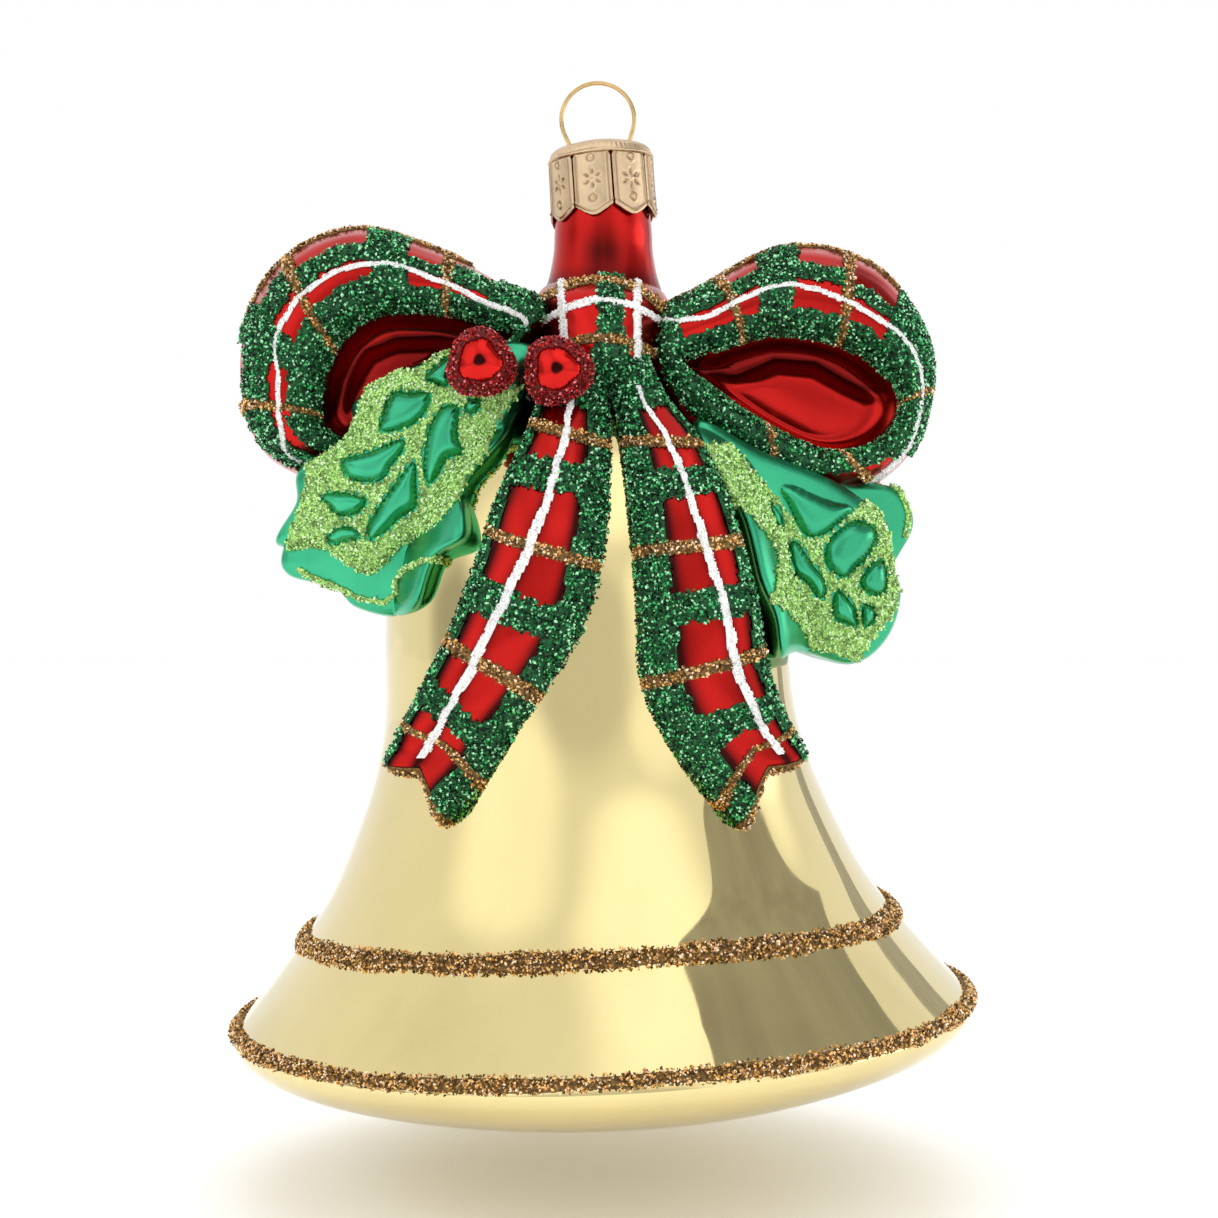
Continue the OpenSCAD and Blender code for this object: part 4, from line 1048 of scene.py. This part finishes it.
class ORNAMENT_OT_crown(bpy.types.Operator):
    """The stamped crown that covers the neck, with embossed petals that end in points."""
    bl_idname = "ornament.crown"
    bl_label = "Crown"

    def execute(self, context):
        count, columns = context.scene.ornament_sizes.petals, 40
        radius, height = millimetres("crown_width") / 2, millimetres("crown_height")
        top, round_r, slit_half, point, flower = -8.8, 1.9, 0.13, 1.4, 3.9
        slit_top, first_slit, petal_turn = top - 1.7, math.radians(11), 2 * math.pi / count
        half = math.pi / count - slit_half / radius
        share = np.linspace(-1, 1, columns + 1)
        turns = np.concatenate([first_slit + petal_turn / 2 + k * petal_turn + half * share for k in range(count)])
        turns = np.append(turns, turns[0] + 2 * math.pi)
        places = np.append(np.tile(share, count), -1.0)
        cap_rows, round_rows, wall_rows, petal_rows = 8, 8, 4, 62
        last_row = cap_rows + round_rows + wall_rows + petal_rows
        slit_row = last_row - petal_rows
        around = len(turns) - 1

        def stamped(u, v):
            column = np.rint(u * around).astype(int)
            row = np.rint(v * last_row)
            turn, t = turns[column], places[column]
            cap = np.clip(row / cap_rows, 0, 1)
            bend = np.clip((row - cap_rows) / round_rows, 0, 1) * math.pi / 2
            wall = np.clip((row - cap_rows - round_rows) / wall_rows, 0, 1)
            fall = np.clip((row - slit_row) / petal_rows, 0, 1)
            r = (radius - round_r) * cap + round_r * np.sin(bend)
            z = top - round_r * (1 - np.cos(bend)) + (slit_top - top + round_r) * wall
            end = top - height + point * np.clip((np.abs(t) - 0.1) / 0.9, 0, 1) ** 1.25
            z = z + (end - slit_top) * fall
            s = slit_top - z
            narrow = 0.22 * np.exp(-((s - 0.3) / 0.35) ** 2) * (fall > 0)
            turn, x = turn - t * narrow / radius, t * (half * radius - narrow)
            side = half * radius - 0.5
            relief = 0.2 * np.exp(-((np.abs(x) - side) / 0.13) ** 2) * step(s, 0.3, 0.6) * step(z - end, 0.3, 0.6)
            relief += 0.2 * np.exp(-((z - end - 0.55) / 0.13) ** 2)
            for a in np.arange(6) * math.pi / 3:
                along = x * math.sin(a) + (s - flower) * math.cos(a)
                off = x * math.cos(a) - (s - flower) * math.sin(a)
                relief -= 0.3 * np.exp(-((along - 0.95) / 0.42) ** 2 - (off / 0.2) ** 2)
            relief += 0.12 * np.exp(-(x ** 2 + (s - flower) ** 2) / 0.3 ** 2)
            for centre in (1.1, 6.6):
                far = np.hypot(x, s - centre)
                relief += 0.2 * np.exp(-((far - 0.5) / 0.14) ** 2) - 0.1 * np.exp(-(far / 0.2) ** 2)
            relief += 0.015 * np.sin(x * 15) * np.sin(s * 14)
            relief *= step(fall, 0.02, 0.1)
            beads = 0.12 * np.exp(-((bend - 0.95) / 0.22) ** 2) * (0.5 + 0.5 * np.cos(turn * 64))
            r = r + relief + beads + 0.1 * fall ** 2 + 0.05 * np.sin(turn * 3) * fall
            return np.stack([r * np.sin(turn), -r * np.cos(turn), z + 0.04 * np.cos(turn * 5) * cap], 1), relief

        def surface(u, v):
            return stamped(u, v)[0]

        def patina(u, v):
            return step(np.abs(stamped(u, v)[1]), 0.03, 0.14) * 0.75

        def keep(u, v):
            column = np.floor(u * around).astype(int)
            between = (column % (columns + 1)) == columns
            return ~(between & (v * last_row > slit_row))

        gilt = tone("crown")
        finish = Finish("gilt_sheet", gilt, metallic=1.0, roughness=0.3, coat=0.1, coat_roughness=0.2)
        worn = finish.noise(310, 5, 0.65)
        bright = finish.ramp(worn, (0.3, shade(gilt, 0.8)), (0.55, gilt), (0.8, shade(gilt, 1.15)))
        dull = finish.node("Attribute", attribute_name="pool").outputs["Fac"]
        finish.feed("Base Color", finish.mix(dull, bright, (0.33, 0.2, 0.1)))
        finish.feed("Roughness", finish.between(worn, 0.24, 0.46))
        finish.bump(finish.noise(1500, 3, 0.7), 0.3, 0.06)
        piece = blow("crown_gilt_cap", surface, around, last_row, place=crown_place, pool=patina, keep=keep,
                     thick=millimetres("sheet") * 0.8, offset=-1)
        settle(piece, "crown", "crown_metal", finish.material, "crown_cap")
        return {"FINISHED"}


class ORNAMENT_OT_bell(bpy.types.Operator):
    """The mirrored bell with its closed bottom, and the red neck above it."""
    bl_idname = "ornament.bell"
    bl_label = "Bell and neck"

    def execute(self, context):
        gold = mirrored_gold("mirror_gold", tone("gold"))
        settle(blow("bell_mirror_glass", bell_surface, 288, 240, place=bell_place), "glass", "gold_mirror", gold,
               "bell_shell")
        red = lacquer("lacquer_red", tone("red"), tone("red_deep"), 0.24)

        # Painted shade where the neck meets the knot, and a painted dark reflection down the middle of its front and
        # back
        def pool(u, v):
            h, half_turn = neck_surface(u, v)[:, 2], np.pi * u
            front = np.exp(-((np.abs(np.sin(half_turn)) - 0.05) / 0.16) ** 2)
            back = np.exp(-((np.abs(np.cos(half_turn))) / 0.16) ** 2)
            return 0.6 * np.exp(-((h - 100.5) / 1.8) ** 2) + 0.8 * (front + back) * np.exp(-((h - 104.5) / 3.2) ** 2)
        settle(blow("neck_red_glass", neck_surface, 96, 90, pool=pool), "glass", "red_lacquer", red, "neck_tube")
        return {"FINISHED"}


class ORNAMENT_OT_bow(bpy.types.Operator):
    """The two loops and the knot of the bow."""
    bl_idname = "ornament.bow"
    bl_label = "Bow"

    def execute(self, context):
        red = bpy.data.materials["lacquer_red"]
        made = shapes()

        def recess(surface, crease, above, below):
            """Painted shade in a recess: dark along its crease, at one level above the crease and another below it,
            and in a dark ring round the upper part of its rim.
            """
            def pool(u, v):
                w, p = across_loop(v), surface(u, v)
                near = np.exp(-(away_from(p[:, 0], p[:, 2], crease) / 0.9) ** 2)
                high = step(p[:, 2] - np.interp(p[:, 0], *np.array(crease).T), -0.8, 0.8)
                floor = np.maximum(0.75 * near, below + (above - below) * high)
                return floor * step(w, 0.99, 1.03) + 0.3 * high * np.exp(-((w - 1.02) / 0.03) ** 2)
            return pool
        # Each loop with its crease and the painted shade of its recess above and below the crease
        for name, crease, above, below in (("bow_loop_left", CREASE_LEFT, 0.38, 0.52),
                                           ("bow_loop_right", CREASE_RIGHT, 0.6, 0.02)):
            loop = blow(name + "_glass", made[name], *LOOP_GRID, pool=recess(made[name], crease, above, below))
            settle(loop, "glass", "red_lacquer", red, name)
        knot = made["bow_knot"]

        # Painted shade in the pinches at the knot's two sides, where the ribbon is gathered
        def painted_fold_shade(u, v):
            p = knot(u, v)
            return 0.6 * np.exp(-((np.abs(p[:, 0]) - 7.2) / 1.0) ** 2)
        settle(blow("bow_knot_glass", knot, *KNOT_GRID, pool=painted_fold_shade), "glass", "red_lacquer", red, "bow_knot")
        return {"FINISHED"}


class ORNAMENT_OT_tails(bpy.types.Operator):
    """The four ribbon tails, two on each face of the bell."""
    bl_idname = "ornament.tails"
    bl_label = "Tails"

    def execute(self, context):
        red = bpy.data.materials["lacquer_red"]
        made = shapes()

        def painted_fold_shade(plan):
            """Painted shade beside the green stripes and the white line, and over the tail's inner side and its
            edges.
            """
            def pool(u, v):
                c = across_tail(u)
                middle = np.interp(v, *zip(*plan["white"]))
                lines = ((plan["sides"][0][1], 0.08, 1.0), (middle, 0.055, 0.85), (plan["sides"][1][0], 0.05, 0.9))
                dark = sum(share * np.exp(-((c - place) / wide) ** 2) for place, wide, share in lines)
                return np.maximum(dark, 0.8 * (1 - step(np.sin(2 * np.pi * u), 0.1, 0.6)))
            return pool
        for name in ("tail_left_front", "tail_right_front", "tail_left_back", "tail_right_back"):
            pool = painted_fold_shade(TAIL_LEFT_PLAN if "left" in name else TAIL_RIGHT_PLAN)
            settle(blow(name + "_glass", made[name], *TAIL_GRID, pool=pool), "glass", "red_lacquer", red, name)
        return {"FINISHED"}


class ORNAMENT_OT_holly(bpy.types.Operator):
    """The holly leaves and the berries."""
    bl_idname = "ornament.holly"
    bl_label = "Holly"

    def execute(self, context):
        made = shapes()
        green = lacquer("lacquer_green", tone("green"), tone("green_painted_shade"), 0.3)

        # Painted shade on the upright wall round each leaf's edge
        def painted_wall_shade(u, v):
            return 0.65 * (1 - step(np.abs(1 - 2 * v), 0.02, 0.14))
        for name in ("leaf_left", "leaf_left_rear", "leaf_right", "leaf_right_rear"):
            settle(blow(name + "_glass", made[name], *LEAF_GRID, pool=painted_wall_shade), "glass", "green_lacquer", green, name)
        red = lacquer("lacquer_berry", shade(tone("red"), 1.15), tone("red_deep"), 0.12)

        # A painted dark reflection: a small spot at the middle of each berry's face
        def painted_reflection_spot(u, v):
            return 1.0 - step(v, 0.05, 0.075)
        for name, surface in made.items():
            if name.startswith("berry"):
                settle(blow(name + "_glass", surface, *BERRY_GRID, pool=painted_reflection_spot), "glass", "berry_red", red, name)
        return {"FINISHED"}


class ORNAMENT_OT_bell_bands(bpy.types.Operator):
    """The two raised bands of gold glitter on the bell."""
    bl_idname = "ornament.bell_bands"
    bl_label = "Bell bands"

    def execute(self, context):
        # Each band: its height at the sides, half its width, its rise at the front and back, and its seed
        bands = (("waist_glitter_band", 12.4, 1.2, 1.3, 41), ("rim_glitter_band", 0.9, 0.85, 0.1, 42))
        raised, buried = 0.45, -0.4
        for name, height, half, rise, seed in bands:
            middle = along_bell(height)

            def bead(u, v):
                turn = 2 * np.pi * u
                uneven = (0.18 * np.sin(turn * 5 + seed) + 0.14 * np.sin(turn * 13 + 2 * seed)
                          + 0.1 * np.sin(turn * 31))
                wide = half * (1 + 0.1 * np.sin(turn * 9 + seed) + 0.07 * np.sin(turn * 23))
                around = 2 * np.pi * v
                along = middle + (uneven * 0.5 + wide * np.cos(around) - rise * np.cos(turn) ** 2) / bell_length
                return bell_surface(u, along, np.maximum(np.sin(around), buried) * raised)

            slot, bed, tints, scale = materials_of("gold")
            size = millimetres("grain") * scale
            rng = np.random.default_rng(seed)
            base = blow(name + "_glue", bead, 720, 14, place=bell_place)
            settle(base, "glass", slot, bed, name)
            spots, normals = spots_on(bead, lambda u, v: v < 0.5, grains_per_mm2() * 1.1, rng, (900, 40))
            outward = np.stack([spots[:, 0], spots[:, 1], np.zeros(len(spots))], 1)
            normals *= np.where((normals * outward).sum(1) < 0, -1, 1)[:, None]
            grains = sprinkle(name + "_grains", spots, normals, size, tints, rng, bell_place)
            settle(grains, "glass", slot, None)
        return {"FINISHED"}


class ORNAMENT_OT_bow_glitter(bpy.types.Operator):
    """The tartan of glitter on the loops and the knot."""
    bl_idname = "ornament.bow_glitter"
    bl_label = "Tartan of the bow"

    def execute(self, context):
        made, line = shapes(), millimetres("line")
        owned = {("left", "green"): ["loop_left_green"], ("right", "green"): ["loop_right_green"],
                 ("left", "gold"): ["loop_gold_lines"], ("left", "white"): ["loop_white_lines"]}
        loops = {"left": (LOOP_LEFT_PLAN, LOOP_LEFT_OUTER, LOOP_LEFT_INNER),
                 "right": (LOOP_RIGHT_PLAN, LOOP_RIGHT_OUTER, LOOP_RIGHT_INNER)}
        for number, (side, (plan, outer, inner)) in enumerate(loops.items()):
            masks = loop_masks(plan, outer, inner, line, 7 + number)
            for kind, mask in masks.items():
                glitter(f"loop_{side}_{kind}", kind, made["bow_loop_" + side], mask, LOOP_GRID,
                        100 + 10 * number + len(kind), owned.get((side, kind), ()))
        nodes = {"green": ["knot_green"], "gold": ["knot_gold_lines"], "white": ["knot_white_lines"]}
        for kind, mask in knot_masks(made["bow_knot"], line).items():
            glitter(f"knot_{kind}", kind, made["bow_knot"], mask, KNOT_GRID, 200 + len(kind), nodes[kind])
        return {"FINISHED"}


class ORNAMENT_OT_tail_glitter(bpy.types.Operator):
    """The tartan of glitter on the tails."""
    bl_idname = "ornament.tail_glitter"
    bl_label = "Tartan of the tails"

    def execute(self, context):
        made, line = shapes(), millimetres("line")
        for face, side in ((FRONT, "front"), (BACK, "back")):
            for number, (hand, plan) in enumerate((("left", TAIL_LEFT_PLAN), ("right", TAIL_RIGHT_PLAN))):
                masks = tail_masks(plan, line, 31 + number)
                for kind, mask in masks.items():
                    ending = "green_" if kind == "green" else kind + "_lines_"
                    nodes = ["tail_" + ending + side] if hand == "left" else []
                    glitter(f"tail_{hand}_{side}_{kind}", kind, made[f"tail_{hand}_{side}"], mask,
                            TAIL_GRID if kind == "green" else TAIL_LINE_GRID,
                            300 + 20 * number + 7 * (face > 0) + len(kind), nodes)
        return {"FINISHED"}


class ORNAMENT_OT_frost(bpy.types.Operator):
    """Lime glitter on the holly and red glitter round the berries."""
    bl_idname = "ornament.frost"
    bl_label = "Frosting"

    def execute(self, context):
        made = shapes()
        for hand, region, pillows, veins in (("left", FROST_LEFT, PILLOWS_LEFT, FROST_LEFT_REAR),
                                             ("right", FROST_RIGHT, PILLOWS_RIGHT, FROST_RIGHT_REAR)):
            leaf = made["leaf_" + hand]
            glitter(f"leaf_{hand}_lime", "lime", leaf, frost_mask(leaf, region, pillows), LEAF_GRID, 400,
                    [f"leaf_{hand}_glitter"])
            rear = made[f"leaf_{hand}_rear"]
            glitter(f"leaf_{hand}_rear_lime", "lime", rear, vein_mask(rear, veins, 0.32), LEAF_GRID, 410)
        for side in ("front", "back"):
            for hand in BERRIES:
                surface = made[f"berry_{hand}_{side}"]
                nodes = [f"berry_rings_{side}"] if hand == "left" else []
                glitter(f"berry_{hand}_{side}_red", "red", surface,
                        lambda u, v: (v > 0.255 + 0.015 * np.sin(u * 31)) & (v < 0.6), BERRY_RING_GRID, 420, nodes)
        return {"FINISHED"}


# ---- The stage ----

# What the lamps, the cards and the patches of sky are aimed at, and where the camera stands
HEART = np.array([0.0, 0.0, -0.085])
CAMERA_PLACE, LENS, SENSOR = (0.0019, -0.2856, -0.0733), 60.3, 36
# Each is aimed by an azimuth, from the front towards +x, and an elevation, in degrees
CARDS = (("stage_card_right", 88, 46, (0.5, 0.42), 0.29), ("stage_card_side", 134, 4, (0.08, 0.5), 0.35),
         ("stage_card_low", 0, -38, (0.5, 0.12), 0.3))
SKY_PATCHES = ((-46, 26, 34, 4, 0.4), (40, 12, 22, 2, 0.3), (96, 4, 26, 6, 1.6), (0, 0, 34, 8, -0.25),
               (-75, 0, 26, 6, -0.5), (25, 55, 30, 5, 0.5))
LAMPS = (("key", -48, 24, 0.34, 0.75), ("fill", 44, 14, 0.3, 0.4), ("side", 66, 10, 0.12, 0.2),
         ("top", 180, 75, 0.5, 0.9))


def around(azimuth, elevation, distance):
    """A place at a distance from the ornament's heart."""
    a, e = math.radians(azimuth), math.radians(elevation)
    return HEART + distance * np.array([math.sin(a) * math.cos(e), -math.cos(a) * math.cos(e), math.sin(e)])


def facing_in(azimuth, elevation):
    """The turn that points a lamp or a card at the heart."""
    return math.radians(90 - elevation), 0, math.radians(azimuth)


def lay_floor(height):
    """The pale floor."""
    clear_selection()
    bpy.ops.mesh.primitive_plane_add(size=6, location=(0, 0, height))
    floor = bpy.context.object
    floor.name = "stage_floor"
    paper = Finish("stage_paper", (0.97, 0.97, 0.97), roughness=0.9)
    paper.feed("Base Color", paper.ramp(paper.noise(3), (0.3, (0.965, 0.965, 0.965)), (0.7, (0.98, 0.98, 0.98))))
    floor.data.materials.append(paper.material)
    return floor


def hang_card(name, azimuth, elevation, size, value):
    """A grey card that only mirrors see."""
    clear_selection()
    bpy.ops.mesh.primitive_plane_add(size=1, location=around(azimuth, elevation, 0.55),
                                     rotation=facing_in(azimuth, elevation))
    card = bpy.context.object
    card.name = name
    card.scale = (*size, 1)
    grey = (value, value, value)
    cloth = Finish(name + "_cloth", grey, roughness=1.0)
    cloth.feed("Base Color", cloth.ramp(cloth.noise(5), (0.3, shade(grey, 0.85)), (0.7, shade(grey, 1.2))))
    card.data.materials.append(cloth.material)
    card.visible_camera = card.visible_diffuse = card.visible_shadow = False
    return card


def light_sky():
    """A white sky with soft brighter and darker patches, each from its outer to its inner angle."""
    world = bpy.data.worlds.new("studio")
    bpy.context.scene.world = world
    world.use_nodes = True
    tree = world.node_tree
    sky = tree.nodes["Background"]
    sky.inputs["Color"].default_value = (1, 1, 1, 1)
    way = tree.nodes.new("ShaderNodeTexCoord").outputs["Generated"]
    total = None
    for azimuth, elevation, outer, inner, gain in SKY_PATCHES:
        aim = tree.nodes.new("ShaderNodeVectorMath")
        aim.operation = "DOT_PRODUCT"
        tree.links.new(way, aim.inputs[0])
        aim.inputs[1].default_value = (around(azimuth, elevation, 1) - HEART).tolist()
        patch = tree.nodes.new("ShaderNodeMapRange")
        patch.interpolation_type = "SMOOTHERSTEP"
        for socket, value in (("From Min", math.cos(math.radians(outer))),
                              ("From Max", math.cos(math.radians(inner))), ("To Min", 0), ("To Max", gain)):
            patch.inputs[socket].default_value = value
        tree.links.new(aim.outputs["Value"], patch.inputs["Value"])
        add = tree.nodes.new("ShaderNodeMath")
        if total is None:
            add.inputs[0].default_value = 1.0
        else:
            tree.links.new(total, add.inputs[0])
        tree.links.new(patch.outputs["Result"], add.inputs[1])
        total = add.outputs[0]
    tree.links.new(total, sky.inputs["Strength"])


def place_lamp(name, azimuth, elevation, size, power):
    """A soft lamp that mirrors don't see."""
    clear_selection()
    bpy.ops.object.light_add(type="AREA", location=around(azimuth, elevation, 0.6),
                             rotation=facing_in(azimuth, elevation))
    lamp = bpy.context.object
    lamp.name = "light_" + name
    lamp.data.size = size
    lamp.data.energy = power
    lamp.visible_glossy = False


def place_camera():
    """The camera, level and in front of the ornament."""
    clear_selection()
    bpy.ops.object.camera_add(location=CAMERA_PLACE, rotation=(math.pi / 2, 0, 0))
    camera = bpy.context.object
    camera.data.lens, camera.data.sensor_width = LENS, SENSOR
    camera.data.clip_start = 0.01
    bpy.context.scene.camera = camera
    bpy.context.scene.view_settings.view_transform = "Standard"


class ORNAMENT_OT_stage(bpy.types.Operator):
    """The pale floor, the soft lights, the cards that the mirror reflects and the camera."""
    bl_idname = "ornament.stage"
    bl_label = "Stage"

    def execute(self, context):
        below = 0.012
        floor = lay_floor(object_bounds()[0][2] - below)
        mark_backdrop(floor, *(hang_card(*card) for card in CARDS))
        light_sky()
        for lamp in LAMPS:
            place_lamp(*lamp)
        place_camera()
        return {"FINISHED"}


STEPS = (ORNAMENT_OT_hanger, ORNAMENT_OT_crown, ORNAMENT_OT_bell, ORNAMENT_OT_bow, ORNAMENT_OT_tails,
         ORNAMENT_OT_holly, ORNAMENT_OT_bell_bands, ORNAMENT_OT_bow_glitter, ORNAMENT_OT_tail_glitter,
         ORNAMENT_OT_frost, ORNAMENT_OT_stage)


class ORNAMENT_PT_panel(bpy.types.Panel):
    """Sizes, colours and steps of the ornament."""
    bl_idname = "ORNAMENT_PT_panel"
    bl_label = "Glass bell ornament"
    bl_space_type = "VIEW_3D"
    bl_region_type = "UI"
    bl_category = "Ornament"

    def draw(self, context):
        for group in (context.scene.ornament_sizes, context.scene.ornament_colours):
            box = self.layout.box()
            for key in group.__annotations__:
                box.prop(group, key)
        for step_class in STEPS:
            self.layout.operator(step_class.bl_idname)


CLASSES = (OrnamentSizes, OrnamentColours, *STEPS, ORNAMENT_PT_panel)


def register():
    for item in CLASSES:
        bpy.utils.register_class(item)
    bpy.types.Scene.ornament_sizes = PointerProperty(type=OrnamentSizes)
    bpy.types.Scene.ornament_colours = PointerProperty(type=OrnamentColours)


def unregister():
    del bpy.types.Scene.ornament_colours
    del bpy.types.Scene.ornament_sizes
    for item in reversed(CLASSES):
        bpy.utils.unregister_class(item)


def main():
    """Registers the add-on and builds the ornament."""
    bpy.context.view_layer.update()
    register()
    bpy.ops.ornament.hanger()
    bpy.ops.ornament.crown()
    bpy.ops.ornament.bell()
    bpy.ops.ornament.bow()
    bpy.ops.ornament.tails()
    bpy.ops.ornament.holly()
    bpy.ops.ornament.bell_bands()
    bpy.ops.ornament.bow_glitter()
    bpy.ops.ornament.tail_glitter()
    bpy.ops.ornament.frost()
    bpy.ops.ornament.stage()


if __name__ == "__main__":
    main()
